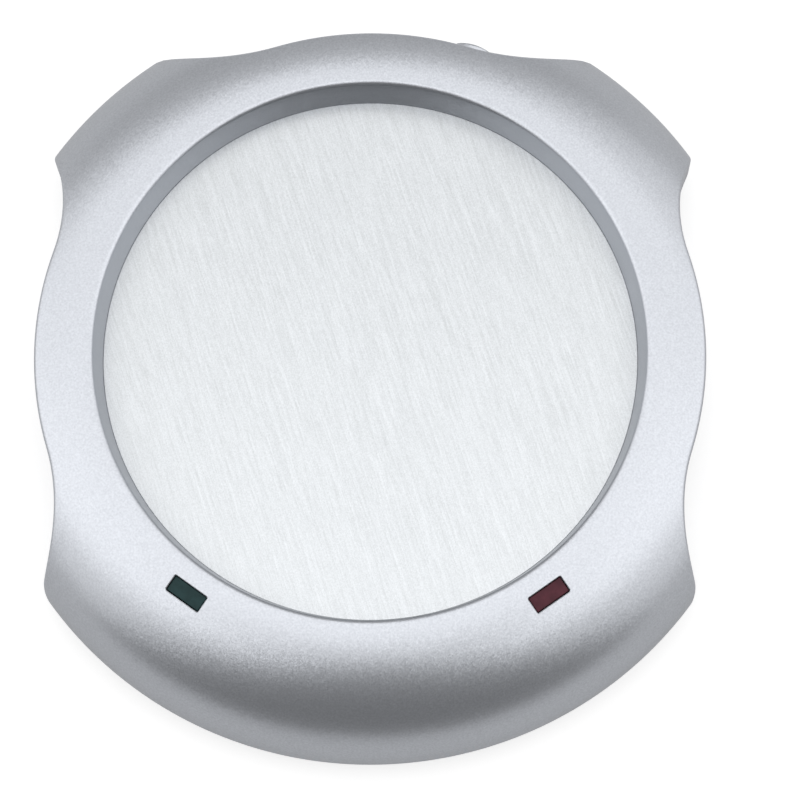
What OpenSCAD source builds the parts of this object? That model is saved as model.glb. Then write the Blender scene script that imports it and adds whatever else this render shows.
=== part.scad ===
// Electric mug warmer: a brushed heating plate sunk in a silver moulded ring,
// with scooped sides, two indicator windows and a push button in the rear wall.
// Millimetres, +Z up, front towards -Y. The feet stand on z = 0, and the origin
// is under the middle of the footprint. Angles run from the rear, towards +X.

/* [Shell] */
// Radius of the well's mouth
rim_r = 46.6; // [44:0.1:50]
// Width of the crown from the well's mouth to the scooped left, right and rear sides
band_w = 10.1; // [9.6:0.1:11]
// How much further than the scooped sides the front and the two rear ears reach
ear_reach = 11.1; // [10:0.1:12]
// Height of the crown, from the shell's lower edge up to the well's mouth
crown_h = 19; // [18:0.1:20]
// Wall of the shell
wall = 2.4; // [2:0.1:2.5]
// Wall of the well
well_wall = 1.8; // [1.6:0.1:2]
// Depth of the well, from its mouth down to the heating plate
well_depth = 6.6; // [6:0.1:7]
// How much narrower the well is at the plate than at its mouth
well_draft = 1.25; // [0.8:0.05:1.6]

/* [Outline] */
// Half angle of the rear scoop's round stretch
rear_scoop_a = 17; // [15:0.5:19]
// Radius of the hollow flank beside the rear scoop
rear_flank_r = 32.2; // [28:0.1:36]
// Radius of the corner between the rear flank and the ear
rear_corner_r = 1.8; // [1.2:0.1:3]
// Angle where the side scoop's round stretch starts, towards the ear
ear_scoop_a = 72; // [70:0.5:74]
// Radius of the hollow flank between the side scoop and the ear
ear_flank_r = 25.4; // [22:0.1:29]
// Radius of the corner between that flank and the ear
ear_corner_r = 4.5; // [3:0.1:6]
// Angle where the side scoop's round stretch ends, towards the front
front_scoop_a = 107.4; // [105:0.1:110]
// Radius of the hollow flank between the side scoop and the front
front_flank_r = 30.4; // [27:0.1:34]
// Radius of the front corner
front_corner_r = 2.9; // [2:0.1:4]

/* [Base] */
// How far the rubber feet stand proud of the base
foot_h = 1.6; // [1.2:0.1:3]
// Radius of a foot
foot_r = 5; // [4:0.1:5.5]
// Depth of the recess that a foot is glued into
foot_recess = 0.8; // [0.5:0.1:1]
// Thickness of the base's floor
floor_t = 2; // [1.8:0.1:2.4]
// How far the base's side is set back under the shell's edge
base_inset = 1.5; // [1.2:0.1:1.7]
// Thickness of the base's side wall
base_wall = 2.2; // [2:0.1:2.4]
// Height of the lip that stands up inside the shell
lip_h = 3; // [2:0.1:3.5]
// Number of vent slots in the floor
vents = 7; // [3:2:9]
// Width of a vent slot
vent_w = 2; // [1.2:0.1:2.4]
// Length of a vent slot
vent_l = 30; // [20:1:36]
// Distance from one vent slot to the next
vent_pitch = 5; // [4.5:0.1:5.5]
// Height of the posts that the circuit boards stand on
post_h = 2.4; // [2:0.1:2.6]

/* [Heating plate] */
// Thickness of the heating plate
plate_t = 2; // [1.8:0.1:2.4]
// Thickness of the flange round the plate
flange_t = 1; // [0.8:0.1:1.1]
// Thickness of the silicone gasket on the flange
gasket_t = 0.6; // [0.4:0.1:0.8]
// Thickness of the ring that holds the plate up
retainer_t = 1.5; // [1.2:0.1:1.6]
// Gap between the retainer and the mica, insulation and clamp plate inside it
stack_gap = 2.7; // [2.2:0.1:3.2]
// Thickness of a mica sheet
mica_t = 0.3; // [0.2:0.1:0.4]
// Thickness of the heating element's ribbon
ribbon_t = 0.4; // [0.2:0.1:0.5]
// Width of the heating element's ribbon
ribbon_w = 2; // [1.6:0.1:2.4]
// Distance from one turn of the ribbon to the next
ribbon_pitch = 3; // [2.8:0.1:3.1]
// Number of turns of the ribbon
ribbon_turns = 7; // [5:2:7]
// Thickness of the insulation pad
pad_t = 2; // [1.6:0.1:2.2]
// Thickness of the steel clamp plate
clamp_t = 0.8; // [0.6:0.1:1]
// Distance of the clamp screws inside the clamp plate's edge
clamp_screw_in = 4; // [3.6:0.1:4.4]

/* [Thermostat and fuse] */
// Length of the thermostat's case
stat_l = 18; // [16:0.5:20]
// Width of the thermostat's case
stat_w = 7; // [6:0.1:7.5]
// Height of the thermostat's case
stat_h = 3.5; // [3:0.1:4]
// Thickness of the metal strap and clip
strap_t = 0.6; // [0.5:0.1:0.8]
// Width of the metal strap and clip
strap_w = 5; // [4:0.1:6]
// Length of the thermal fuse's case
fuse_l = 10; // [9:0.5:12]
// Radius of the thermal fuse's case
fuse_r = 2; // [1.8:0.1:2.2]
// Distance of the fuse in front of the thermostat
fuse_y = 16; // [15:0.1:18]

/* [Indicators] */
// Angle of each window from the front
window_a = 35.5; // [33:0.1:36]
// Distance from the well's mouth to the middle of a window
window_out = 5.05; // [4.9:0.05:6]
// Length of a window, along the ring
window_l = 6.65; // [6:0.05:7.5]
// Width of a window, across the ring
window_w = 3.05; // [2.6:0.05:3.4]
// How deep the lens lies below the shell's surface
lens_recess = 0.45; // [0.3:0.05:0.8]
// Thickness of the shell round a window
window_wall = 1.6; // [1.3:0.1:1.8]
// How far the lens's flange reaches behind the shell
lens_flange = 0.9; // [0.6:0.1:1.2]
// Thickness of the lens's flange
lens_flange_t = 0.8; // [0.6:0.1:1]
// Radius of the LED's case
led_r = 1.5; // [1.4:0.1:1.6]
// Height of the LED's case without its dome
led_h = 3.8; // [3.4:0.1:4.4]

/* [Circuit boards] */
// Thickness of a circuit board
board_t = 1.6; // [1.2:0.1:1.6]
// Radial width of the LED board
led_board_w = 13.5; // [13:0.5:14]
// Angle of the LED board's screws from the front
led_screw_a = 20; // [18:0.5:24]
// Radial width of the rear board
rear_board_w = 10.7; // [10:0.1:11]
// Half angle of the rear board
rear_board_a = 34; // [33:0.5:36]
// Angle of the rear board's screws from the rear
rear_screw_a = 30; // [29.5:0.5:31]
// Radius of the smoothing capacitor
cap_r = 3.15; // [2.5:0.05:3.4]
// Height of the smoothing capacitor
cap_h = 7; // [5:0.5:8]

/* [Power button and switch] */
// Angle of the button from the rear
button_a = 17; // [16:0.5:20]
// Radius of the button
button_r = 3.6; // [3.2:0.1:3.8]
// How far the button stands proud of the shell
button_proud = 4.1; // [3.6:0.1:4.6]
// How far the button travels
button_travel = 2; // [1.5:0.1:2.1]
// Height of the button's domed end
button_dome = 0.9; // [0.5:0.1:1.2]
// Side of the switch's square case
switch_w = 7; // [6.6:0.1:7]
// Length of the switch's case
switch_l = 7; // [6.5:0.1:8]
// Radius of the switch's plunger
plunger_r = 1; // [0.9:0.05:1.1]
// Turns of the return spring
spring_turns = 6; // [5:1:7]
// Diameter of the spring's wire
spring_wire = 0.4; // [0.3:0.05:0.45]
// Mean radius of the spring
spring_r = 2.2; // [2.15:0.05:2.2]

/* [Power inlet] */
// Angle of the inlet from the rear, on the other side from the button
inlet_a = 18; // [16:0.5:20]
// Radius of the inlet's socket
inlet_bore_r = 2.8; // [2.7:0.05:2.9]
// Depth of the inlet's socket
inlet_depth = 10.5; // [9:0.5:11]
// Radius of the inlet's centre pin
inlet_pin_r = 1.05; // [0.9:0.05:1.2]
// Width of the inlet's case
inlet_w = 9; // [8:0.1:10]
// Length of the inlet's case
inlet_l = 12.3; // [12:0.1:13]
// Height of the inlet's case
inlet_h = 7; // [6.8:0.1:7.4]

/* [Fasteners and leads] */
// Radius of the shell's case screw bosses
case_boss_r = 3.4; // [3:0.1:3.6]
// Distance of the case screws inside the edge circle
case_screw_in = 8.6; // [8.4:0.1:9.5]
// Length of a case screw
case_screw_l = 10; // [8:0.5:12]
// Shank radius of a case screw
case_screw_r = 1.4; // [1.2:0.05:1.5]
// Radius of the bosses that the plate's retainer is screwed to
small_boss_r = 2.8; // [2.6:0.1:2.8]
// Shank radius of a small screw
small_screw_r = 1.2; // [1:0.05:1.25]
// Radius of an insulated lead
lead_r = 0.7; // [0.5:0.05:0.8]

/* [Clearances] */
// Gap round the heating plate, where it stands in the well
plate_gap = 0.15; // [0.1:0.05:0.3]
// Gap between the base's lip and the shell
lip_gap = 0.15; // [0.1:0.05:0.2]
// Gap round the button in the shell
button_gap = 0.25; // [0.2:0.05:0.3]
// Gap round a screw in the hole that it is driven into
screw_gap = 0.05; // [0.03:0.01:0.08]
// Gap round a screw in a hole that it passes through
screw_pass = 0.3; // [0.2:0.05:0.4]
// Gap between the plate's retainer and the switch, the inlet or the capacitor
part_gap = 0.3; // [0.2:0.05:0.5]
// Gap round the heating element's ribbon
ribbon_clear = 0.1; // [0.05:0.05:0.2]
// Gap between a lens and the LED behind it
led_gap = 0.9; // [0.7:0.1:1.1]
// Gap round a lens, a foot, a pin or a case in its seat
seat_gap = 0.1; // [0.05:0.01:0.15]
// Running gap of the switch's plunger
plunger_gap = 0.05; // [0.03:0.01:0.08]

/* [Hidden] */
$fn = 64;
eps = 0.01;
past = 1;

// How far the outline's lobes reach past the crown's own edge, so that the crown
// alone shapes the shell there
lobe_out = 0.05;

// Shallow recess in the floor's underside, and the notches in the lip
label_y = -32;
label_w = 34;
label_l = 14;
label_depth = 0.3;
notch_l = 6;

// Levels, from the table up
floor_z = foot_h + floor_t;
board_z = floor_z + post_h;
board_top_z = board_z + board_t;
retainer_low_z = board_top_z + max(switch_w, inlet_h) + part_gap;
plate_low_z = retainer_low_z + retainer_t;
plate_z = plate_low_z + plate_t;
rim_z = plate_z + well_depth;
edge_z = rim_z - crown_h;
join_z = edge_z + 2;
well_low_z = plate_low_z + flange_t + gasket_t;
mica_z = plate_low_z - mica_t;
ribbon_z = mica_z - ribbon_t;
low_mica_z = ribbon_z - mica_t;
pad_z = low_mica_z - pad_t;
clamp_z = pad_z - clamp_t;

// Radii about the axis of the well
waist_r = rim_r + band_w;
edge_r = waist_r + ear_reach;
well_foot_r = rim_r - well_draft;
well_out_r = rim_r + well_wall;
plate_r = well_foot_r - plate_gap;
flange_r = well_out_r - 0.6;
retainer_in_r = plate_r - 2;
retainer_out_r = flange_r + 1.5;
stack_r = retainer_in_r - stack_gap;
clamp_screw_at = stack_r - clamp_screw_in;
clamp_screw_as = [45, 135, 225, 315];
waist_in_r = waist_r - wall;
retainer_ear_r = small_boss_r + 0.3;
small_boss_at = waist_in_r - part_gap - retainer_ear_r;
small_bite = 4;
pilot_extra = 0.8;
case_screw_at = edge_r - case_screw_in;
case_screw_as = [44.5, 134, -134, -44.5];
small_screw_as = [0, 90, 180, 270];

// Screws
pilot_r = small_screw_r + screw_gap;
pass_r = small_screw_r + screw_pass;
head_r = 2 * small_screw_r;
head_h = 1.5;
case_head_r = 2 * case_screw_r;
case_head_h = 1.8;
case_seat = 2.6;
case_seat_z = foot_h + case_seat;
foot_at = case_screw_at - case_head_r - screw_pass - foot_r - seat_gap - 1.5;
foot_edge = 0.5;
clamp_post_r = 2.4;
clamp_hole_r = clamp_post_r + screw_pass;

// Indicators
window_r = rim_r + window_out;
window_pocket = 6;
window_as = [180 + window_a, 180 - window_a];
led_below = window_wall + lens_flange_t + led_gap;
led_at = window_r - led_below * sin(crown_slope(window_r));
led_top_z = crown_at(window_r) - led_below * cos(crown_slope(window_r));
led_z = led_top_z - led_r - led_h;
led_rim = 0.35;
led_rim_h = 1;
led_pitch = 2.54;
led_leg_w = 0.5;
led_board_in = led_at - led_r - 2;
led_board_a = window_a + asin((led_r + led_rim + 0.3) / led_at);
led_screw_at = led_board_in + 8.8;

// Resistors and boards
resistor_a = 11;
resistor_r = 1.15;
resistor_l = 6.2;
resistor_wire_r = 0.3;
resistor_pitch = 9.2;
resistor_lift = 1.5;
cap_step = 0.4;
cap_at = small_boss_at + retainer_ear_r + part_gap + cap_r;
post_r = 2.6;
post_bite = 2.6;

// Button, switch and inlet, by their distance from the axis
stop_gap = 0.45;
flange_face = waist_in_r - stop_gap;
button_flange_t = 1;
button_flange_r = button_r + 0.9;
button_end = waist_r + button_proud;
button_hollow = button_end - button_dome - 0.9;
button_ball_r = (button_r * button_r + button_dome * button_dome) / (2 * button_dome);
switch_face = flange_face - button_flange_t - button_travel - 0.35;
plunger_bore = switch_face - 5.6;
plunger_in = plunger_bore + button_travel + 0.4;
plunger_out = button_hollow - 1.4;
socket_wall = 0.6;
socket_depth = 1.6;
button_bore_r = spring_r + spring_wire / 2 + 0.25;
switch_z = board_top_z + switch_w / 2;
inlet_z = board_top_z + inlet_h / 2;
inlet_face = waist_in_r - 0.6;
inlet_nose = waist_r - 0.2;
inlet_nose_r = inlet_bore_r + 0.5;
inlet_floor = inlet_nose - inlet_depth;
inlet_back = inlet_face - inlet_l;
pin_root_r = inlet_pin_r - 0.25;
pin_tail = 1.2;
pin_sunk = 1;
rear_board_out = switch_face - 0.4;
rear_board_in = rear_board_out - rear_board_w;
rear_screw_at = rear_board_in + 5.5;

// The axis stands where the front and the button reach equally far from the origin
rear_reach = max(waist_r, (button_end - button_ball_r) * cos(button_a) + button_ball_r);
axis_y = (edge_r - rear_reach) / 2;

// Heating element
ribbon_gap = 5;
tab_w = 3;
tab_t = 0.5;
tab_low_z = clamp_z - 2.2;
tab_x = (ribbon_gap + tab_w) / 2;
ribbon_last_r = clamp_screw_at - clamp_post_r - ribbon_clear - ribbon_w / 2;
ribbon_r = ribbon_last_r - (ribbon_turns - 1) * ribbon_pitch;
tab_first_y = sqrt(ribbon_r * ribbon_r - tab_x * tab_x);
tab_last_y = sqrt(ribbon_last_r * ribbon_last_r - tab_x * tab_x);

// Thermostat and fuse
stat_z = clamp_z - stat_h;
strap_foot = 6.8;
strap_screw_y = stat_w / 2 + strap_t + strap_foot / 2;
strap_hole_r = small_screw_r + screw_pass / 2;
strap_low_z = stat_z - strap_t;
sleeve_r = fuse_r + seat_gap + 0.4;
sleeve_l = fuse_l + 12;
fuse_z = clamp_z - sleeve_r;
fuse_wire_r = 0.4;
fuse_end_x = sleeve_l / 2 + 2;
fuse_screw_y = fuse_y + sleeve_r + strap_t + strap_foot / 2;
stat_end_x = stat_l / 2 + 3;
stat_tab_z = stat_z + stat_h / 2;
stat_tab_w = 2.4;
stat_tab_t = 0.4;

// Height of the crown's surface at radius r
function crown_at(r) =
    edge_z + crown_h * sqrt(1 - pow((r - rim_r) / (edge_r - rim_r), 2));

// Slope of the crown's surface at radius r
function crown_slope(r) =
    let (s = (r - rim_r) / (edge_r - rim_r))
    atan(crown_h / (edge_r - rim_r) * s / sqrt(1 - s * s));

// Point at radius r and angle a from the rear
function polar(r, a) = [r * sin(a), r * cos(a)];

// Angle of a plan vector from the rear
function bearing(v) = atan2(v[0], v[1]);

// Points on an arc about c, from angle a by the shorter way to angle b
function arc(c, r, a, b, steps) =
    let (turn = (b - a + 540) % 360 - 180)
    [for (i = [0 : steps - 1]) c + polar(r, a + turn * i / steps)];

// Angle at the axis between the centres of a flank and of its corner
function corner_turn(big, waist, flank, corner) =
    let (u = big - corner, v = waist + flank, w = flank + corner)
    acos((u * u + v * v - w * w) / (2 * u * v));

// Flank and corner arcs, from the waist at angle a out to the big circle;
// side is 1 where the lobe lies at larger angles
function flank_points(big, waist, flank, corner, a, side) =
    let (b = a + side * corner_turn(big, waist, flank, corner),
         c = polar(waist + flank, a),
         v = polar(big - corner, b))
    concat(arc(c, flank, bearing(-c), bearing(v - c), 8),
           arc(v, corner, bearing(c - v), b, 6),
           [polar(big, b)]);

function reversed(p) = [for (i = [len(p) - 1 : -1 : 0]) p[i]];

// Right half of the outline, set in by t, its lobes let out by out
function half_outline(t, out) =
    let (big = edge_r - t + out,
         waist = waist_r - t,
         rear_c = max(rear_corner_r - t, 0.4),
         ear_c = max(ear_corner_r - t, 0.4),
         front_c = max(front_corner_r - t, 0.4),
         rear_b = rear_scoop_a + corner_turn(big, waist, rear_flank_r + t, rear_c),
         ear_b = ear_scoop_a - corner_turn(big, waist, ear_flank_r + t, ear_c),
         front_b = front_scoop_a + corner_turn(big, waist, front_flank_r + t, front_c))
    concat(arc([0, 0], waist, 0, rear_scoop_a, 6),
           flank_points(big, waist, rear_flank_r + t, rear_c, rear_scoop_a, 1),
           [for (i = [1 : 5]) polar(big, rear_b + (ear_b - rear_b) * i / 6)],
           reversed(flank_points(big, waist, ear_flank_r + t, ear_c, ear_scoop_a, -1)),
           [for (i = [1 : 11])
               polar(waist, ear_scoop_a + (front_scoop_a - ear_scoop_a) * i / 12)],
           flank_points(big, waist, front_flank_r + t, front_c, front_scoop_a, 1),
           [for (i = [1 : 17]) polar(big, front_b + (180 - front_b) * i / 18)]);

// Whole outline: the half, the front point and the mirrored half
function outline(t, out) =
    let (half = half_outline(t, out))
    concat(half, [[0, -(edge_r - t + out)]],
           [for (i = [len(half) - 1 : -1 : 1]) [-half[i][0], half[i][1]]]);

module prism(t, low, high, out = 0) {
    translate([0, 0, low])
        linear_extrude(high - low)
            polygon(outline(t, out));
}

// Solid under the crown's surface, set in by t, from just below the shell's edge
module crown(t) {
    wide = edge_r - rim_r - t;
    tall = crown_h - t;
    rotate_extrude()
        polygon(concat([[0, edge_z - past], [rim_r + wide, edge_z - past]],
            [for (a = [90 : -6 : 0]) [rim_r + wide * sin(a), edge_z + tall * cos(a)]],
            [[0, edge_z + tall]]));
}

module on_axis() {
    translate([0, axis_y, 0]) children();
}

// Children stand at radius r and angle a, their +Y pointing outwards
module at(r, a, z = 0) {
    rotate([0, 0, -a]) translate([0, r, z]) children();
}

// Round bar along +Y, between two distances from the axis
module bar(r, near, far) {
    translate([0, near, 0]) rotate([-90, 0, 0]) cylinder(r = r, h = far - near);
}

module block(size, z = 0) {
    translate([-size[0] / 2, -size[1] / 2, z]) cube(size);
}

module disc(r, z, h) {
    translate([0, 0, z]) cylinder(r = r, h = h);
}

// Pan-head screw with a cross recess; it stands on its seat, shank up
module screw(r, length, rh, hh) {
    difference() {
        union() {
            translate([0, 0, -eps]) cylinder(r = r, h = length + eps);
            translate([0, 0, -hh]) cylinder(r = rh, h = hh);
        }
        for (turn = [0, 90])
            rotate([0, 0, turn]) block([rh * 1.1, rh * 0.28, hh * 0.6], -hh - eps);
    }
}

module small_screw(length) {
    screw(small_screw_r, length, head_r, head_h);
}

// Frame of a window: origin on the crown's surface, +Z out of it
module at_window(a) {
    at(window_r, a, crown_at(window_r))
        rotate([-crown_slope(window_r), 0, 0]) children();
}

module window_cut(a) {
    at_window(a) {
        block([window_l, window_w, window_wall + 4 * past], -window_wall - past);
        block([window_l + 2 * lens_flange, window_w + 2 * lens_flange, window_pocket],
            -window_wall - window_pocket);
    }
}

// Shell of the ring, without its bosses
module ring_shell() {
    difference() {
        intersection() {
            crown(0);
            prism(0, edge_z, rim_z + past, lobe_out);
        }
        intersection() {
            crown(wall);
            prism(wall, edge_z - 2 * past, rim_z + past, lobe_out);
        }
    }
}

module cover_bosses() {
    intersection() {
        crown(wall / 2);
        union() {
            for (a = case_screw_as) at(case_screw_at, a, join_z)
                cylinder(r = case_boss_r, h = crown_h);
            for (a = small_screw_as) at(small_boss_at, a, plate_low_z)
                cylinder(r = small_boss_r, h = crown_h);
        }
    }
}

module well_cut() {
    slope = well_draft / well_depth;
    drop = plate_z - well_low_z + past;
    translate([0, 0, plate_z - drop])
        cylinder(r1 = well_foot_r - drop * slope, r2 = rim_r + past * slope,
            h = drop + well_depth + past);
}

module top_cover() {
    color("silver") on_axis() difference() {
        union() {
            ring_shell();
            disc(well_out_r, well_low_z, rim_z - wall / 2 - well_low_z);
            cover_bosses();
        }
        well_cut();
        for (a = window_as) window_cut(a);
        disc(flange_r + part_gap, plate_low_z - past, well_low_z - plate_low_z + past);
        for (a = case_screw_as) at(case_screw_at, a, join_z - eps)
            cylinder(r = case_screw_r + screw_gap,
                h = case_seat_z + case_screw_l + pilot_extra - join_z);
        for (a = small_screw_as) at(small_boss_at, a, plate_low_z - eps)
            cylinder(r = pilot_r, h = small_bite + pilot_extra);
        at(0, button_a, switch_z)
            bar(button_r + button_gap, waist_in_r - 2 * past, waist_r + 2 * past);
        at(0, -inlet_a, inlet_z)
            bar(inlet_nose_r + seat_gap, waist_in_r - 2 * past, waist_r + 2 * past);
    }
}

module base_tray() {
    difference() {
        union() {
            prism(base_inset, foot_h, edge_z);
            intersection() {
                prism(wall + lip_gap, edge_z - eps, edge_z + lip_h);
                crown(wall + lip_gap);
            }
        }
        prism(base_inset + base_wall, floor_z, edge_z + lip_h + past);
    }
}

module base_cover() {
    color("dimgray") on_axis() difference() {
        union() {
            base_tray();
            for (a = case_screw_as) at(case_screw_at, a, floor_z - eps)
                cylinder(r = case_boss_r + 0.6, h = join_z - floor_z + eps);
            for (s = [-1, 1]) {
                at(led_screw_at, 180 + s * led_screw_a, floor_z - eps)
                    cylinder(r = post_r, h = post_h + eps);
                at(rear_screw_at, s * rear_screw_a, floor_z - eps)
                    cylinder(r = post_r, h = post_h + eps);
            }
        }
        for (a = case_screw_as) at(case_screw_at, a, foot_h - past) {
            cylinder(r = case_head_r + screw_pass, h = case_seat + past);
            cylinder(r = case_screw_r + screw_pass, h = crown_h);
        }
        for (a = case_screw_as) at(foot_at, a, foot_h - past)
            cylinder(r = foot_r + seat_gap, h = foot_recess + past);
        for (s = [-1, 1]) {
            at(led_screw_at, 180 + s * led_screw_a, board_z - post_bite - pilot_extra)
                cylinder(r = pilot_r, h = post_bite + pilot_extra + past);
            at(rear_screw_at, s * rear_screw_a, board_z - post_bite - pilot_extra)
                cylinder(r = pilot_r, h = post_bite + pilot_extra + past);
        }
        for (i = [-(vents - 1) / 2 : (vents - 1) / 2]) translate([0, i * vent_pitch, 0])
            block([vent_l, vent_w, floor_t + 2 * past], foot_h - past);
        translate([0, label_y, 0]) block([label_w, label_l, label_depth + past], foot_h - past);
        at(waist_in_r, button_a, edge_z)
            block([2 * button_flange_r + 1, notch_l, lip_h + past]);
        at(waist_in_r, -inlet_a, edge_z)
            block([inlet_w + 1, notch_l, lip_h + past]);
    }
}

module heating_plate() {
    color("gainsboro") on_axis() difference() {
        union() {
            disc(plate_r, plate_low_z, plate_t);
            disc(flange_r, plate_low_z, flange_t);
            for (a = clamp_screw_as) at(clamp_screw_at, a, pad_z)
                cylinder(r = clamp_post_r, h = plate_low_z - pad_z + eps);
        }
        for (a = clamp_screw_as) at(clamp_screw_at, a, pad_z - eps)
            cylinder(r = pilot_r, h = plate_low_z - pad_z + plate_t * 0.6);
    }
}

module plate_gasket() {
    color("orangered") on_axis() difference() {
        disc(flange_r, plate_low_z + flange_t, gasket_t);
        disc(plate_r + seat_gap, plate_low_z, plate_t + past);
    }
}

// Ring with four ears, cut back where it would meet an LED
module plate_retainer() {
    low = retainer_low_z - past;
    color("darkslategray") on_axis() difference() {
        union() {
            disc(retainer_out_r, retainer_low_z, retainer_t);
            for (a = small_screw_as) at(small_boss_at, a, retainer_low_z)
                cylinder(r = retainer_ear_r, h = retainer_t);
        }
        disc(retainer_in_r, low, retainer_t + 2 * past);
        for (a = small_screw_as) at(small_boss_at, a, low)
            cylinder(r = pass_r, h = retainer_t + 2 * past);
        for (a = window_as) at(led_at, a, low)
            cylinder(r = led_r + led_rim + part_gap, h = retainer_t + 2 * past);
    }
}

module retainer_screws() {
    color("lightgray") on_axis() for (a = small_screw_as)
        at(small_boss_at, a, retainer_low_z) small_screw(retainer_t + small_bite);
}

// Holes that the plate's clamp posts pass through
module post_holes(r) {
    for (a = clamp_screw_as) at(clamp_screw_at, a) cylinder(r = r, h = rim_z);
}

// Slots that the element's two tabs pass through
module tab_slots() {
    translate([tab_x, tab_first_y, 0]) block([tab_w + 1, tab_t + 1.2, rim_z]);
    translate([-tab_x, tab_last_y, 0]) block([tab_w + 1, tab_t + 1.2, rim_z]);
}

module upper_mica() {
    color("tan") on_axis() difference() {
        disc(stack_r, mica_z, mica_t);
        post_holes(clamp_hole_r);
    }
}

// One ribbon that runs to and fro in open rings, joined at alternate ends
module heating_element() {
    color("goldenrod") on_axis() translate([0, 0, ribbon_z]) linear_extrude(ribbon_t) {
        difference() {
            for (i = [0 : ribbon_turns - 1]) difference() {
                circle(r = ribbon_r + i * ribbon_pitch + ribbon_w / 2);
                circle(r = ribbon_r + i * ribbon_pitch - ribbon_w / 2);
            }
            translate([-ribbon_gap / 2, 0]) square([ribbon_gap, stack_r]);
        }
        for (i = [0 : ribbon_turns - 2]) {
            side = i % 2 == 0 ? -1 : 1;
            translate([side * (ribbon_gap + ribbon_w) / 2 - ribbon_w / 2,
                       ribbon_r + i * ribbon_pitch - 0.3])
                square([ribbon_w, ribbon_pitch]);
        }
    }
}

module heater_tabs() {
    color("peru") on_axis() {
        translate([tab_x, tab_first_y, 0])
            block([tab_w, tab_t, ribbon_z - tab_low_z], tab_low_z);
        translate([-tab_x, tab_last_y, 0])
            block([tab_w, tab_t, ribbon_z - tab_low_z], tab_low_z);
    }
}

module lower_mica() {
    color("tan") on_axis() difference() {
        disc(stack_r, low_mica_z, mica_t);
        post_holes(clamp_hole_r);
        tab_slots();
    }
}

module insulation_pad() {
    color("white") on_axis() difference() {
        disc(stack_r, pad_z, pad_t);
        post_holes(clamp_hole_r);
        tab_slots();
        strap_screw_places(pass_r);
    }
}

module strap_screw_places(r) {
    for (y = [-strap_screw_y, strap_screw_y, -fuse_screw_y])
        translate([0, y, clamp_z - past]) cylinder(r = r, h = clamp_t + pad_t + 1.5 * past);
}

module clamp_plate() {
    color("lightsteelblue") on_axis() difference() {
        disc(stack_r, clamp_z, clamp_t);
        post_holes(pass_r);
        tab_slots();
        strap_screw_places(pilot_r);
    }
}

module clamp_screws() {
    color("lightgray") on_axis() for (a = clamp_screw_as)
        at(clamp_screw_at, a, clamp_z)
            small_screw(clamp_t + plate_low_z - pad_z + plate_t * 0.4);
}

module thermostat() {
    color("whitesmoke") on_axis() {
        block([stat_l, stat_w, stat_h], stat_z);
        block([2 * stat_end_x, stat_tab_w, stat_tab_t], stat_tab_z - stat_tab_t / 2);
    }
}

// Strap that goes under the thermostat and up to the clamp plate on both sides
module thermostat_strap() {
    leg = clamp_z - strap_low_z;
    color("lightsteelblue") on_axis() difference() {
        union() {
            block([strap_w, stat_w + 2 * strap_t, strap_t], strap_low_z);
            for (s = [-1, 1]) {
                translate([0, s * (stat_w / 2 + strap_t / 2 + seat_gap), 0])
                    block([strap_w, strap_t, leg], strap_low_z);
                translate([0, s * strap_screw_y, 0])
                    block([strap_w, strap_foot, strap_t], clamp_z - strap_t);
            }
        }
        strap_screw_places(strap_hole_r);
    }
}

module strap_screws() {
    color("lightgray") on_axis()
        for (y = [-strap_screw_y, strap_screw_y, -fuse_screw_y])
            translate([0, y, clamp_z - strap_t]) small_screw(strap_t + clamp_t + 0.8);
}

module along_fuse() {
    translate([0, -fuse_y, fuse_z]) rotate([0, 0, -90]) children();
}

module thermal_fuse() {
    color("lightgray") on_axis() along_fuse() {
        bar(fuse_r, -fuse_l / 2, fuse_l / 2);
        bar(fuse_wire_r, -fuse_end_x, fuse_end_x);
    }
}

module fuse_sleeve() {
    color("ivory") on_axis() along_fuse() difference() {
        bar(sleeve_r, -sleeve_l / 2, sleeve_l / 2);
        bar(fuse_r + seat_gap, -sleeve_l, sleeve_l);
    }
}

module fuse_clip() {
    low = fuse_z - sleeve_r - strap_t;
    half = sleeve_r + strap_t / 2 + seat_gap;
    color("lightsteelblue") on_axis() difference() {
        union() {
            translate([0, -fuse_y, 0]) block([strap_w, 2 * half + strap_t, strap_t], low);
            for (s = [-1, 1]) translate([0, -fuse_y + s * half, 0])
                block([strap_w, strap_t, clamp_z - low], low);
            translate([0, -fuse_screw_y, 0])
                block([strap_w, strap_foot, strap_t], clamp_z - strap_t);
        }
        strap_screw_places(strap_hole_r);
    }
}

module lens(a) {
    seat = window_wall + seat_gap / 2;
    on_axis() at_window(a) {
        block([window_l - 2 * seat_gap, window_w - 2 * seat_gap,
            seat + lens_flange_t - lens_recess], -seat - lens_flange_t);
        block([window_l + 2 * lens_flange - 2 * seat_gap,
            window_w + 2 * lens_flange - 2 * seat_gap, lens_flange_t],
            -seat - lens_flange_t);
    }
}

module green_lens() { color("darkslategray") lens(window_as[0]); }

module red_lens() { color("maroon") lens(window_as[1]); }

// Round LED on two long legs, standing on its board
module led(a) {
    on_axis() at(led_at, a) {
        intersection() {
            disc(led_r, led_z, led_h + led_r);
            union() {
                disc(led_r, led_z, led_h);
                translate([0, 0, led_z + led_h]) sphere(r = led_r);
            }
        }
        disc(led_r + led_rim, led_z, led_rim_h);
        for (s = [-1, 1]) translate([s * led_pitch / 2, 0, 0])
            block([led_leg_w, led_leg_w, led_z - board_top_z + eps], board_top_z);
    }
}

module green_led() { color("limegreen") led(window_as[0]); }

module red_led() { color("red") led(window_as[1]); }

// Part of a ring between two radii, within half_a of angle a
module board(near, far, half_a, a) {
    translate([0, 0, board_z]) linear_extrude(board_t) intersection() {
        difference() {
            circle(r = far);
            circle(r = near);
        }
        polygon([[0, 0], polar(2 * far, a - half_a), polar(2 * far, a),
                 polar(2 * far, a + half_a)]);
    }
}

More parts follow.
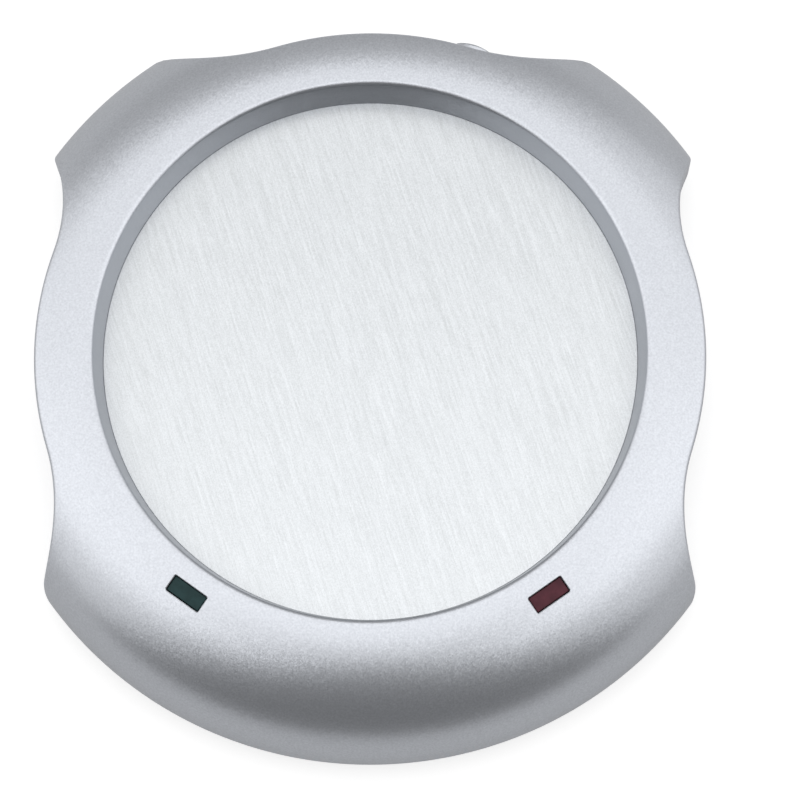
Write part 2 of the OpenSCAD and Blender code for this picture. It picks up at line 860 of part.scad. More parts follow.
module led_board() {
    color("seagreen") on_axis() difference() {
        board(led_board_in, led_board_in + led_board_w, led_board_a, 180);
        for (s = [-1, 1]) at(led_screw_at, 180 + s * led_screw_a, board_z - past)
            cylinder(r = pass_r, h = board_t + 2 * past);
    }
}

module board_screw_at(r, a) {
    on_axis() at(r, a, board_top_z) rotate([180, 0, 0]) small_screw(board_t + post_bite);
}

module led_board_screws() {
    color("lightgray") for (s = [-1, 1])
        board_screw_at(led_screw_at, 180 + s * led_screw_a);
}

// Axial resistor lying along the board, its legs bent down
module resistor(a) {
    z = board_top_z + resistor_lift;
    half = resistor_pitch / 2;
    at(led_board_in + 4.5, a) {
        translate([0, 0, z]) rotate([0, 0, -90]) {
            bar(resistor_r, -resistor_l / 2, resistor_l / 2);
            bar(resistor_wire_r, -half, half);
        }
        for (x = [-half, half]) {
            translate([x, 0, z]) sphere(r = resistor_wire_r);
            translate([x, 0, 0]) disc(resistor_wire_r, board_top_z, resistor_lift);
        }
    }
}

module led_resistors() {
    color("burlywood") on_axis() for (s = [-1, 1]) resistor(180 + s * resistor_a);
}

module capacitor() {
    color("midnightblue") on_axis() at(cap_at, 180, board_top_z) {
        cylinder(r = cap_r, h = cap_h - cap_step);
        cylinder(r = cap_r - cap_step, h = cap_h);
    }
}

module rear_board() {
    color("seagreen") on_axis() difference() {
        board(rear_board_in, rear_board_out, rear_board_a, 0);
        for (s = [-1, 1]) at(rear_screw_at, s * rear_screw_a, board_z - past)
            cylinder(r = pass_r, h = board_t + 2 * past);
    }
}

module rear_board_screws() {
    color("lightgray") for (s = [-1, 1]) board_screw_at(rear_screw_at, s * rear_screw_a);
}

// Hollow cap with a domed end, a stop flange inside the shell and a plunger socket
module power_button() {
    button_back = flange_face - button_flange_t;
    color("silver") on_axis() at(0, button_a, switch_z) {
        difference() {
            union() {
                intersection() {
                    bar(button_r, button_back, button_end);
                    translate([0, button_end - button_ball_r, 0]) sphere(r = button_ball_r);
                }
                bar(button_r, button_back, button_end - button_dome);
                bar(button_flange_r, button_back, flange_face);
            }
            bar(button_bore_r, button_back - past, button_hollow);
        }
        difference() {
            bar(plunger_r + socket_wall, plunger_out - socket_depth, button_hollow + 0.2);
            bar(plunger_r + screw_gap, plunger_out - socket_depth - past,
                plunger_out + seat_gap);
        }
    }
}

module switch_body() {
    color("darkslategray") on_axis() at(0, button_a, switch_z) difference() {
        translate([0, switch_face - switch_l / 2, 0])
            block([switch_w, switch_l, switch_w], -switch_w / 2);
        bar(plunger_r + plunger_gap, plunger_bore, switch_face + past);
    }
}

module switch_plunger() {
    color("white") on_axis() at(0, button_a, switch_z)
        bar(plunger_r, plunger_in, plunger_out);
}

// Centre line of the return spring, along +Y
spring_from = switch_face + spring_wire / 2 + 0.05;
spring_to = button_hollow - spring_wire / 2 - 0.05;
spring_steps = 8 * spring_turns;
function spring_point(i) =
    [spring_r * cos(45 * i),
     spring_from + (spring_to - spring_from) * i / spring_steps,
     spring_r * sin(45 * i)];
spring_path = [for (i = [0 : spring_steps]) spring_point(i)];
spring_room = min([for (i = [0 : spring_steps - 6], j = [i + 6 : min(i + 12, spring_steps)])
    norm(spring_point(i) - spring_point(j))]) - spring_wire;
echo("least gap between the spring's turns", spring_room);

module button_spring() {
    color("gainsboro") on_axis() at(0, button_a, switch_z)
        tube(spring_path, spring_wire / 2, 6);
}

module power_inlet() {
    color("dimgray") on_axis() at(0, -inlet_a, inlet_z) difference() {
        union() {
            translate([0, inlet_face - inlet_l / 2, 0])
                block([inlet_w, inlet_l, inlet_h], -inlet_h / 2);
            bar(inlet_nose_r, inlet_face - past, inlet_nose);
        }
        bar(inlet_bore_r, inlet_floor, inlet_nose + past);
        bar(pin_root_r + screw_gap, inlet_back - past, inlet_nose);
    }
}

// Pin with a thinner root that runs through the case to its back
module inlet_pin() {
    color("gold") on_axis() at(0, -inlet_a, inlet_z) {
        bar(pin_root_r, inlet_back - pin_tail, inlet_floor + eps);
        bar(inlet_pin_r, inlet_floor, inlet_nose - pin_sunk);
    }
}

module case_screws() {
    color("lightgray") on_axis() for (a = case_screw_as)
        at(case_screw_at, a, case_seat_z)
            screw(case_screw_r, case_screw_l, case_head_r, case_head_h);
}

module foot(a) {
    color("black") on_axis() at(foot_at, a, 0) {
        cylinder(r1 = foot_r - foot_edge, r2 = foot_r, h = foot_edge);
        translate([0, 0, foot_edge]) cylinder(r = foot_r, h = foot_h + foot_recess - foot_edge);
    }
}

module foot_rear_left() { foot(case_screw_as[3]); }

module foot_rear_right() { foot(case_screw_as[0]); }

module foot_front_left() { foot(case_screw_as[2]); }

module foot_front_right() { foot(case_screw_as[1]); }

// Unit vector
function unit(v) = v / norm(v);

// Direction of a path at point i
function heading(p, i) = unit(p[min(i + 1, len(p) - 1)] - p[max(i - 1, 0)]);

// Side vectors carried along a path without twisting
function side_vectors(p, i, s) =
    let (h = heading(p, i), n = unit(s - (s * h) * h))
    i == len(p) - 1 ? [n] : concat([n], side_vectors(p, i + 1, n));

// Closed tube of radius r along a path, with flat ends
module tube(p, r, sides) {
    h0 = heading(p, 0);
    sides_v = side_vectors(p, 0, abs(h0[2]) > 0.7 ? [1, 0, 0] : [0, 0, 1]);
    last = len(p) - 1;
    points = [for (i = [0 : last], k = [0 : sides - 1])
        let (n = sides_v[i], b = cross(heading(p, i), n), t = 360 * k / sides)
        p[i] + r * (cos(t) * n + sin(t) * b)];
    skin = [for (i = [0 : last - 1], k = [0 : sides - 1])
        let (a = i * sides + k, b = i * sides + (k + 1) % sides)
        each [[a, a + sides, b], [b, a + sides, b + sides]]];
    ends = [for (k = [1 : sides - 2])
        each [[0, k, k + 1], [last * sides, last * sides + k + 1, last * sides + k]]];
    polyhedron(points, concat(skin, ends));
}

// Smooth curve through a few points, with a number of steps between each two
function smooth(p, steps) = concat(
    [for (i = [0 : len(p) - 2], j = [0 : steps - 1])
        let (a = p[max(i - 1, 0)], b = p[i], c = p[i + 1], d = p[min(i + 2, len(p) - 1)],
             t = j / steps)
        0.5 * (2 * b + (c - a) * t + (2 * a - 5 * b + 4 * c - d) * t * t
            + (3 * b - a - 3 * c + d) * t * t * t)],
    [p[len(p) - 1]]);

module lead(points) {
    on_axis() tube(smooth(points, 3), lead_r, 8);
}

// Leads end this far from what they are soldered to
solder = 0.5;
run_z = floor_z + lead_r + 0.5;
lift = 2 * lead_r;
tab_end_z = tab_low_z - solder;
lead_step = 2.6;

// Point above a board's upper face
function on_board(r, a, h) = [r * sin(a), r * cos(a), board_top_z + h];

// First points of a lead at angle a on the rear board
function from_rear(a) = [on_board(rear_board_in + 1.5, a, solder),
    on_board(rear_board_in + 1.5, a, 1.8 * lift)];

// Point on the way across the floor, at a share of the way out to the rear board
function way(share, a, h) = [share * rear_board_in * sin(a),
    share * rear_board_in * cos(a), run_z + h * lift];

module thermostat_lead() {
    color("white") lead(concat(from_rear(10.5), [way(0.9, 22, 3.2), way(0.76, 37, 1.4),
        way(0.57, 63, 1.4), [stat_end_x + 6, 2, stat_tab_z - 1],
        [stat_end_x + 2.5, 0, stat_tab_z], [stat_end_x + solder, 0, stat_tab_z]]));
}

module link_lead() {
    color("white") lead([[-stat_end_x - solder, 0, stat_tab_z],
        [-stat_end_x - 2.5, 0, stat_tab_z], [-stat_end_x - 4, 4, stat_tab_z - 2.5],
        [-10, 11, tab_low_z - 4], [-2, tab_first_y - 0.5, tab_low_z - 4],
        [tab_x, tab_first_y, tab_low_z - 2.2], [tab_x, tab_first_y, tab_end_z]]);
}

module fuse_lead() {
    color("white") lead(concat(from_rear(4.5), [way(0.84, -14, 3), way(0.64, -30, 1),
        way(0.55, -68, 0.7), way(0.59, -110, 1), [-fuse_end_x - 7, -fuse_y + 1, fuse_z - 1],
        [-fuse_end_x - 2.5, -fuse_y, fuse_z], [-fuse_end_x - solder, -fuse_y, fuse_z]]));
}

module return_lead() {
    color("white") lead([[fuse_end_x + solder, -fuse_y, fuse_z],
        [fuse_end_x + 2.5, -fuse_y, fuse_z], way(0.68, 117, 1.6), way(0.66, 86, 0),
        way(0.68, 48, 0), way(0.7, 12.5, 0), way(0.79, -5.5, 1),
        [-tab_x, tab_last_y, tab_low_z - 2.5], [-tab_x, tab_last_y, tab_end_z]]);
}

// One of three leads that start beside the inlet, pass behind it and run side by
// side under the heater to the LED board
module led_lead(i) {
    in = i * lead_step / rear_board_in;
    beside = asin((inlet_w / 2 + 2 * lead_r) / rear_board_in) - inlet_a;
    behind = (inlet_back - pin_tail - 2) / rear_board_in;
    b = 194 - i * lead_step;
    lead(concat(from_rear(beside + 4.6 * i), [way(behind - in, -27, 2),
        way(0.87 - in, -54, 0), way(0.8 - in, -90, 0), way(0.91 - in, -132, 0),
        way(1.1 - in, -160, 1.8), on_board(led_board_in + 1.5, b, 1.8 * lift),
        on_board(led_board_in + 1.5, b, solder)]));
}

module red_led_lead() { color("red") led_lead(0); }

module green_led_lead() { color("green") led_lead(1); }

module common_led_lead() { color("black") led_lead(2); }

top_cover();
base_cover();
heating_plate();
plate_gasket();
plate_retainer();
retainer_screws();
upper_mica();
heating_element();
heater_tabs();
lower_mica();
insulation_pad();
clamp_plate();
clamp_screws();
thermostat();
thermostat_strap();
strap_screws();
thermal_fuse();
fuse_sleeve();
fuse_clip();
green_lens();
red_lens();
green_led();
red_led();
led_board();
led_board_screws();
led_resistors();
capacitor();
rear_board();
rear_board_screws();
power_button();
switch_body();
switch_plunger();
button_spring();
power_inlet();
inlet_pin();
case_screws();
foot_rear_left();
foot_rear_right();
foot_front_left();
foot_front_right();
thermostat_lead();
link_lead();
fuse_lead();
return_lead();
red_led_lead();
green_led_lead();
common_led_lead();
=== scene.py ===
from functools import partial
from math import (acos, asin, atan, atan2, cos, degrees, hypot, pi, radians, sin, sqrt, tan)

import bmesh
import bpy
import numpy as np
from mathutils import Matrix, Vector


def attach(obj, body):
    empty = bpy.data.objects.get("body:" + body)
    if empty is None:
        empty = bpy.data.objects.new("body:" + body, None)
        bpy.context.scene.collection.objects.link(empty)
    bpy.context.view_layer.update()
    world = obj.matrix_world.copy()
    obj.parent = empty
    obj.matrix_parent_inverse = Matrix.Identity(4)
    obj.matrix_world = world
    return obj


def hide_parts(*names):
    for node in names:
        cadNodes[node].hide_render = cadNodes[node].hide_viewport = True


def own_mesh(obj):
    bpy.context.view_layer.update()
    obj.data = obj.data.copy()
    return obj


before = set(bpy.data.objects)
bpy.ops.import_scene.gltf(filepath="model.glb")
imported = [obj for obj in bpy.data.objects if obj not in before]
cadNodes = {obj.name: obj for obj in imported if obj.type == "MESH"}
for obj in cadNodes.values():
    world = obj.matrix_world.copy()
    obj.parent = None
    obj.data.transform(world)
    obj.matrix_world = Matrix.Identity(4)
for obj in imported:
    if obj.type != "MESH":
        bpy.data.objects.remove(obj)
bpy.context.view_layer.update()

mm = 0.001

# Sizes that several pieces share, in millimetres. Angles run from the rear, towards +X
ring = {
    "axisY": 4.6612, "rimR": 46.6, "waistR": 56.7, "edgeR": 67.8,
    "rimZ": 25.0, "edgeZ": 6.0, "wall": 2.4,
    "plateZ": 18.4, "plateLowZ": 16.4, "wellLowZ": 18.0,
    "caseScrewR": 59.2, "caseScrewAngles": (44.5, 134, -134, -44.5),
    "smallBossR": 50.9, "smallBossAngles": (0, 90, 180, 270),
    "buttonAngle": 17, "buttonZ": 11.1, "inletAngle": -18, "inletZ": 11.1,
}
crownWide = ring["edgeR"] - ring["rimR"]
crownTall = ring["rimZ"] - ring["edgeZ"]
casePlaces = [(ring["caseScrewR"], a) for a in ring["caseScrewAngles"]]
bossPlaces = [(ring["smallBossR"], a) for a in ring["smallBossAngles"]]


def linear(code):
    parts = [int(code[i:i + 2], 16) / 255 for i in (1, 3, 5)]
    return (*(p / 12.92 if p <= 0.04045 else ((p + 0.055) / 1.055) ** 2.4 for p in parts), 1.0)


# An input takes a value, a socket, a node for its first output, or a list of sockets and nodes
def feed(node, inputs):
    for name, given in inputs.items():
        for source in given if isinstance(given, list) else [given]:
            if isinstance(source, bpy.types.Node):
                source = source.outputs[0]
            if isinstance(source, bpy.types.NodeSocket):
                node.id_data.links.new(source, node.inputs[name])
            else:
                node.inputs[name].default_value = source


# The kind is given without the word that its full name starts with
def addNode(tree, kind, inputs=None, **settings):
    starts = ("ShaderNode", "GeometryNode", "FunctionNode", "Node")
    node = tree.nodes.new(next(s for s in starts if hasattr(bpy.types, s + kind)) + kind)
    for name, value in settings.items():
        setattr(node, name, value)
    feed(node, inputs or {})
    return node


def startMaterial(name, colour, **sockets):
    material = bpy.data.materials.new(name)
    material.use_nodes = True
    tree = material.node_tree
    shader = tree.nodes["Principled BSDF"]
    feed(shader, {"Base Color": linear(colour)}
         | {socket.replace("_", " "): value for socket, value in sockets.items()})
    add = partial(addNode, tree)
    return material, add, shader, add("TexCoord").outputs["Object"]  # metres from the origin


def ramp(add, factor, low, high, colours):
    node = add("ValToRGB", {"Fac": factor})
    for element, position, colour in zip(node.color_ramp.elements, (low, high), colours):
        element.position, element.color = position, linear(colour)
    return node


# Moulded, cast or rolled surface: two close tones that drift over some centimetres, and a fine
# relief of that grain and depth in millimetres, which also breaks up the gloss
def grained(name, dark, light, grain, depth, roughness, detail=3.0, **sockets):
    material, add, shader, place = startMaterial(name, light, **sockets)
    noise = add("TexNoise", {"Vector": place, "Scale": 1 / (grain * mm), "Detail": detail})
    cloud = add("TexNoise", {"Vector": place, "Scale": 1 / (14 * grain * mm), "Detail": 2.0})
    feed(shader, {
        "Base Color": ramp(add, cloud, 0.3, 0.7, (dark, light)),
        "Roughness": add("MapRange", {
            "Value": noise, "To Min": roughness[0], "To Max": roughness[1]}),
        "Normal": add("Bump", {"Height": noise, "Distance": depth * mm})})
    return material


def satinSilverPaint():
    # Sprayed silver lacquer on moulded ABS: soft broad highlights with a fine aluminium sparkle,
    # and painted shade: a darker grey (#abaeb4) on the steep wall of the well, standing in for its
    # shade
    material, add, shader, place = startMaterial(
        "satinSilverPaintOnAbs", "#c4c6cb", Metallic=0.92, Roughness=0.34)
    flakes = add("TexVoronoi", {"Vector": place, "Scale": 1 / (0.2 * mm)})
    tilt = add("VectorMath", {0: flakes.outputs["Color"], 1: (0.5, 0.5, 0.5)}, operation="SUBTRACT")
    tilt = add("VectorMath", {0: tilt, "Scale": 0.07}, operation="SCALE")
    facing = add("NewGeometry").outputs["Normal"]
    lean = add("VectorMath", {0: facing, 1: tilt}, operation="ADD")
    shade = add("TexNoise", {"Vector": place, "Scale": 1 / (0.35 * mm), "Detail": 3.0})
    centred = add("Mapping", {
        "Vector": place, "Location": (0, -ring["axisY"] * mm, 0), "Scale": (1, 1, 0)})
    radius = add("VectorMath", {0: centred}, operation="LENGTH")
    # painted shade: inside the rim, on the steep wall of the well, the paint turns the darker grey
    # #abaeb4
    wellShadeMask = add("MapRange", {
        "Value": radius.outputs["Value"], "From Min": (ring["rimR"] - 0.1) * mm,
        "From Max": (ring["rimR"] + 0.25) * mm, "To Min": 1.0, "To Max": 0.0})
    paintWithWellShade = add("Mix", {
        "Factor": wellShadeMask, "A": ramp(add, shade, 0.3, 0.7, ("#bec1c7", "#ced1d7")),
        "B": linear("#abaeb4")}, data_type="RGBA")
    feed(shader, {"Base Color": paintWithWellShade.outputs["Result"],
                  "Normal": add("VectorMath", {0: lean}, operation="NORMALIZE")})
    return material


def brushedAluminium():
    # Straight-brushed and clear-anodised aluminium: fine streaks, a sheen drawn out across them
    # and the dry sparkle of the anodised skin. Streaks and sparkle are drawn several times
    # wider than real ones, which no pixel would show
    material, add, shader, place = startMaterial(
        "brushedAnodisedAluminium", "#c9cbcc", Metallic=1.0, Roughness=0.34, Anisotropic=0.75)
    streaks = []
    for length, width, detail in plate["streaks"]:
        turned = add("Mapping", {
            "Vector": place, "Rotation": (0, 0, radians(plate["brushAngle"])),
            "Scale": (width * mm, length * mm, mm)}, vector_type="TEXTURE")
        streaks.append(add("TexNoise", {"Vector": turned, "Scale": 1.0, "Detail": detail}))
    brushed = add("Math", {0: streaks[0], 1: streaks[1]}, operation="ADD")
    sparkle = add("Math", {0: streaks[2], 1: 0.5}, operation="MULTIPLY")
    mixed = add("Math", {0: brushed, 1: 0.25, 2: sparkle}, operation="MULTIPLY_ADD")
    feed(shader, {
        "Base Color": ramp(add, mixed, 0.34, 0.66, ("#bec1c3", "#d8dbde")),
        "Roughness": add("MapRange", {
            "Value": mixed, "From Min": 0.3, "From Max": 0.7, "To Min": 0.3, "To Max": 0.38}),
        "Normal": add("Bump", {"Height": streaks[0], "Distance": 0.004 * mm}),
        "Tangent": add("Tangent", direction_type="UV_MAP", uv_map="brush")})
    return material


def smokedPolycarbonate(name, colour, deep):
    # Injection-moulded smoked polycarbonate: so deep a tint that the unlit window reads as dark
    # glass, with a faint polished sheen
    material, add, shader, place = startMaterial(
        name, colour, Roughness=0.25, IOR=1.585, Specular_IOR_Level=0.12)
    cloud = add("TexNoise", {"Vector": place, "Scale": 1 / (2.0 * mm), "Detail": 2.0})
    feed(shader, {"Base Color": ramp(add, cloud, 0.3, 0.7, (deep, colour))})
    return material


# The mesh functions take points in millimetres, about the axis of the well
def polar(r, a):
    a = radians(a)
    return np.array([r * sin(a), r * cos(a)])


def bearing(v):
    return degrees(atan2(v[0], v[1]))


def sweep(start, end, steps):
    return [start + (end - start) * k / steps for k in range(steps + 1)]


def arc(u, v, r, turns):
    return [(u + r * cos(t), v + r * sin(t)) for t in turns]


def skin(rings, wrap=False):
    n = len(rings[0])
    points = [p for r in rings for p in r]
    faces = []
    for k in range(len(rings) if wrap else len(rings) - 1):
        a, b = k * n, (k + 1) % len(rings) * n
        faces += [(a + i, a + (i + 1) % n, b + (i + 1) % n, b + i) for i in range(n)]
    if not wrap:
        faces += [tuple(range(n)), tuple(range(len(points) - n, len(points)))[::-1]]
    return points, faces


def inMetres(points):
    return [(x * mm, (y + ring["axisY"]) * mm, z * mm) for x, y, z in points]


def addSolid(bm, points, faces):
    part = bmesh.new()  # one closed solid, its doubles merged and its faces turned outwards
    corners = [part.verts.new(p) for p in inMetres(points)]
    for face in faces:
        part.faces.new([corners[i] for i in face])
    bmesh.ops.remove_doubles(part, verts=part.verts, dist=0.0005 * mm)
    bmesh.ops.recalc_face_normals(part, faces=part.faces)
    if part.calc_volume(signed=True) < 0:
        bmesh.ops.reverse_faces(part, faces=part.faces)
    holder = bpy.data.meshes.new("part")
    part.to_mesh(holder)
    part.free()
    bm.from_mesh(holder)
    bpy.data.meshes.remove(holder)


def addObject(name, data):
    made = bpy.data.objects.new(name, data)
    bpy.context.scene.collection.objects.link(made)
    return made


def newPiece(name, solids):
    bm = bmesh.new()
    for points, faces in solids:
        addSolid(bm, points, faces)
    mesh = bpy.data.meshes.new(name)
    bm.to_mesh(mesh)
    bm.free()
    return addObject(name, mesh)


def plainMesh(name, points, edges=(), faces=()):
    mesh = bpy.data.meshes.new(name)
    mesh.from_pydata(points, edges, faces)
    return addObject(name, mesh)


def applyModifiers(piece):
    made = bpy.data.meshes.new_from_object(
        piece.evaluated_get(bpy.context.evaluated_depsgraph_get()))
    piece.modifiers.clear()
    old, piece.data = piece.data, made
    bpy.data.meshes.remove(old)


def combine(piece, solids, operation="DIFFERENCE"):
    tool = newPiece("tool", solids)
    boolean = piece.modifiers.new("combine", "BOOLEAN")
    boolean.object, boolean.operation, boolean.solver = tool, operation, "MANIFOLD"
    applyModifiers(piece)
    bpy.data.objects.remove(tool)


def dress(piece, material, replaces, body="housing", angle=35):
    piece.data.name = piece.name
    if material:
        piece.data.materials.clear()
        piece.data.materials.append(material)
    piece.data.shade_smooth()
    piece.data.set_sharp_from_angle(angle=radians(angle))
    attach(piece, body)
    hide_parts(*replaces)


# Round solid from a profile of (radius, height), turned about +Z of place
def lathe(profile, steps, place=None):
    place = place or Matrix.Identity(4)
    return skin([[place @ Vector((*polar(max(r, 0), 360 * i / steps), z)) for i in range(steps)]
                 for r, z in profile])


def upright(r, a):
    return Matrix.Translation((*polar(r, a), 0))


# Frame whose +Z points away from the well's axis, at height z
def outwards(a, z):
    x, y = polar(1, a)
    return Matrix(((y, 0, x, 0), (-x, 0, y, 0), (0, -1, 0, z), (0, 0, 0, 1)))


# Round bar, with a chamfer at the top or the bottom
def rod(r, low, high, steps=48, place=None, top=0.0, bottom=0.0):
    profile = [(0, low), (r - bottom, low), (r, low + bottom), (r, high - top),
               (r - top, high), (0, high)]
    return lathe(profile, steps, place)


def rods(places, *sizes, **chamfer):
    return [rod(*sizes, place=upright(*at), **chamfer) for at in places]


def roundedLoop(halfU, halfV, corner, perCorner=5, along=(8, 4)):
    corners = [arc(su * (halfU - corner), sv * (halfV - corner), corner,
                   [radians(90 * (turn + k / perCorner)) for k in range(perCorner + 1)])
               for turn, (su, sv) in enumerate(((1, 1), (-1, 1), (-1, -1), (1, -1)))]
    loop = []
    for turn, points in enumerate(corners):
        (u, v), (nextU, nextV) = points[-1], corners[(turn + 1) % 4][0]
        steps = along[turn % 2]
        loop += points + [(u + (nextU - u) * k / steps, v + (nextV - v) * k / steps)
                          for k in range(1, steps)]
    return loop


# Arcs of the ring's outline, from the rear to the front
outlineArcs = {
    "rearScoopA": 17, "rearFlankR": 32.2, "rearCornerR": 1.8,
    "earScoopA": 72, "earFlankR": 25.4, "earCornerR": 4.5,
    "frontScoopA": 107.4, "frontFlankR": 30.4, "frontCornerR": 2.9, "leastCornerR": 0.4,
    "rearSteps": 12, "flankSteps": 14, "cornerSteps": 10, "earSteps": 16, "sideSteps": 20,
    "frontSteps": 40,
}


def arcPoints(centre, r, start, end, steps, inward):
    turn = (end - start + 540) % 360 - 180
    ways = [polar(1, start + turn * i / steps) for i in range(steps)]
    return [(*(centre + r * w), *(inward * w)) for w in ways]


def flankAndCorner(big, waist, flank, corner, a, side):
    u, v, w = big - corner, waist + flank, flank + corner
    b = a + side * degrees(acos((u * u + v * v - w * w) / (2 * u * v)))
    c, k = polar(v, a), polar(u, b)
    o = outlineArcs
    return b, (arcPoints(c, flank, bearing(-c), bearing(k - c), o["flankSteps"], 1)
               + arcPoints(k, corner, bearing(c - k), b, o["cornerSteps"], -1)
               + [(*polar(big, b), *polar(-1, b))])


# Outline set in by t: rows of x, y and the inward normal
def outline(t):
    o = outlineArcs
    big, waist, zero = ring["edgeR"] - t, ring["waistR"] - t, np.zeros(2)
    (rearA, rear), (earA, ear), (frontA, front) = [
        flankAndCorner(big, waist, o[name + "FlankR"] + t,
                       max(o[name + "CornerR"] - t, o["leastCornerR"]), o[name + "ScoopA"], side)
        for name, side in (("rear", 1), ("ear", -1), ("front", 1))]
    half = (arcPoints(zero, waist, 0, o["rearScoopA"], o["rearSteps"], -1) + rear
            + arcPoints(zero, big, rearA, earA, o["earSteps"], -1)[1:] + ear[::-1]
            + arcPoints(zero, waist, o["earScoopA"], o["frontScoopA"], o["sideSteps"], -1)[1:]
            + front + arcPoints(zero, big, frontA, 180, o["frontSteps"], -1)[1:])
    mirrored = [(-x, y, -nx, ny) for x, y, nx, ny in half[:0:-1]]
    return np.array(half + [(0, -big, 0, 1)] + mirrored)


def crownZ(r, inset=0.0):
    share = min(max((r - ring["rimR"]) / (crownWide - inset), 0), 1)
    return ring["edgeZ"] + (crownTall - inset) * sqrt(1 - share * share)


# How steeply the crown falls at radius r
def crownFall(r, most):
    share = min((r - ring["rimR"]) / crownWide, most)
    return crownTall / crownWide * share / sqrt(1 - share * share)


def crownNormal(x, y):
    r = hypot(x, y)
    slope = crownFall(r, 0.9999)
    return Vector((x / r * slope, y / r * slope, 1)).normalized()


# Rounded edge at the outline point p: an arc whose middle is r further in, at height z
def edgeArc(p, r, z, turns):
    x, y, nx, ny = p
    return [(x + nx * inset, y + ny * inset, h) for inset, h in arc(r, z, r, turns)]


shell = {
    "wellDraft": 1.25, "wellDepth": 6.6, "wellWall": 1.8, "lipR": 0.85, "edgeRound": 1.0,
    "footBevel": 0.25, "crownRows": 28, "edgeRows": 6, "lipRows": 7, "innerRows": 12,
    "caseBossR": 3.4, "smallBossR": 2.8, "joinZ": 8.0, "caseHoleR": 1.45, "smallHoleR": 1.25,
    "caseHoleZ": (7.0, 15.0), "smallHoleZ": (18.0, 21.2), "plateRoomR": 48.1,
    "plateRoomZ": 15.4, "buttonHoleR": 3.85, "inletHoleR": 3.4, "holeDepth": 5.0,
    "holeChamfer": 0.25,
}


# One slice of the ring: p on the outer outline with its inward normal, q on the inner one
def shellColumn(p, q):
    s = shell
    x, y, nx, ny = p
    r = hypot(x, y)
    foot, bevel, rimR, rimZ = ring["edgeZ"], s["footBevel"], ring["rimR"], ring["rimZ"]
    h = max(crownZ(r), foot + bevel)
    beta = atan(max(-crownFall(r, 0.99999) * (x * nx + y * ny) / r, 0))
    rho = min(s["edgeRound"], 0.45 * (h - foot - bevel))
    tangent = rho * tan((pi / 2 - beta) / 2)
    top = np.array([x, y]) + np.array([nx, ny]) * tangent * cos(beta)
    a = bearing(top)

    # Rounded lip of the well, crown, rounded edge, and side down to the bevelled foot
    draft = atan(s["wellDraft"] / s["wellDepth"])
    lipAt = rimR + s["lipR"] * (1 - sin(draft)) / cos(draft)
    column = [(*polar(u, a), z) for u, z in arc(
        lipAt, rimZ - s["lipR"], s["lipR"], sweep(pi - draft, pi / 2, s["lipRows"]))]
    start = asin((lipAt - rimR) / crownWide)
    end = min(asin(min((hypot(*top) - rimR) / crownWide, 1)), acos(bevel / crownTall))
    column += [(*polar(rimR + crownWide * sin(t), a), foot + crownTall * cos(t))
               for t in sweep(start, end, s["crownRows"])[1:]]
    column += edgeArc(p, rho, h - tangent, sweep(pi / 2 + beta, pi, s["edgeRows"])[1:])
    column += edgeArc(p, bevel, foot + bevel, sweep(pi, 1.5 * pi, 3))

    # Inner face of the crown, and the well's wall back up to the lip
    column.append((q[0], q[1], foot))
    qr, qa = hypot(q[0], q[1]), bearing(q[:2])
    wide, tall = crownWide - ring["wall"], crownTall - ring["wall"]
    start, end = asin(min((qr - rimR) / wide, 1)), asin(s["wellWall"] / wide)
    column += [(*polar(rimR + wide * sin(t), qa), foot + tall * cos(t))
               for t in sweep(start, end, s["innerRows"])]
    column.append((*polar(rimR + s["wellWall"], qa), ring["wellLowZ"]))
    column += [(*polar(rimR - (rimZ - z) * tan(draft), a), z)
               for z in sweep(ring["wellLowZ"], rimZ - s["lipR"], 3)[:-1]]
    return column


# Rings for skin, from the columns that stand on outlines set in by these amounts
def columnRings(makeColumn, *insets):
    columns = [makeColumn(*points) for points in zip(*map(outline, insets))]
    return [[column[k] for column in columns] for k in range(len(columns[0]))]


window = {
    "angles": {"greenLens": 215.5, "redLens": 144.5}, "r": 51.65, "wall": 1.6, "pocket": 6.0,
    "length": 6.65, "width": 3.05, "cornerR": 0.24, "chamfer": 0.12, "flange": 0.9,
    "recess": 0.45, "gap": 0.14, "flangeT": 0.8, "lensRound": 0.12, "over": 0.4,
}


def windowFrame(a):
    x, y = polar(window["r"], a)
    up = crownNormal(x, y)
    across = Vector((y, -x, 0)).normalized()
    out = up.cross(across)
    frameAt = Matrix((across, out, up)).transposed().to_4x4()
    frameAt.translation = (x, y, crownZ(window["r"]))
    return frameAt


def underCrown(place, u, v, depth):
    p = place @ Vector((u, v, 0))
    foot = Vector((p.x, p.y, crownZ(hypot(p.x, p.y))))
    return foot - crownNormal(p.x, p.y) * depth


def flat(place, u, v, depth):
    return place @ Vector((u, v, -depth))


# Solid in a window's place, from rings: growth, depth, corner radius, how the points lie in the
# crown, and the share of their way from the middle
def windowSolid(a, gap, rings):
    place, halfU, halfV = windowFrame(a), window["length"] / 2 - gap, window["width"] / 2 - gap
    return skin([[put(place, u * spread, v * spread, depth)
                  for u, v in roundedLoop(halfU + grow, halfV + grow, corner)]
                 for grow, depth, corner, put, spread in rings])


def windowCutter(a):
    w, c, over = window, window["cornerR"], window["chamfer"] + window["over"]
    return windowSolid(a, 0, [
        (over, -w["over"], c + over, underCrown, 1), (0, w["chamfer"], c, underCrown, 1),
        (0, w["wall"], c, flat, 1), (w["flange"], w["wall"], c, flat, 1),
        (w["flange"], w["wall"] + w["pocket"], c, flat, 1)])


def lensSolid(a):
    w, r = window, window["lensRound"]
    seat, c = w["wall"] + w["gap"] / 2, w["cornerR"] - w["gap"]
    rings = [(w["flange"], seat + w["flangeT"], c, flat, 1), (w["flange"], seat, c, flat, 1),
             (0, seat, c, flat, 1)]
    rings += [(-inset, w["recess"] + drop, c - inset, underCrown, 1)
              for inset, drop in arc(r, r, -r, sweep(0, pi / 2, 4))]
    rings += [(-r, w["recess"], c - r, underCrown, spread) for spread in (0.97, 0.75, 0.5, 0.25, 0)]
    return windowSolid(a, w["gap"], rings)


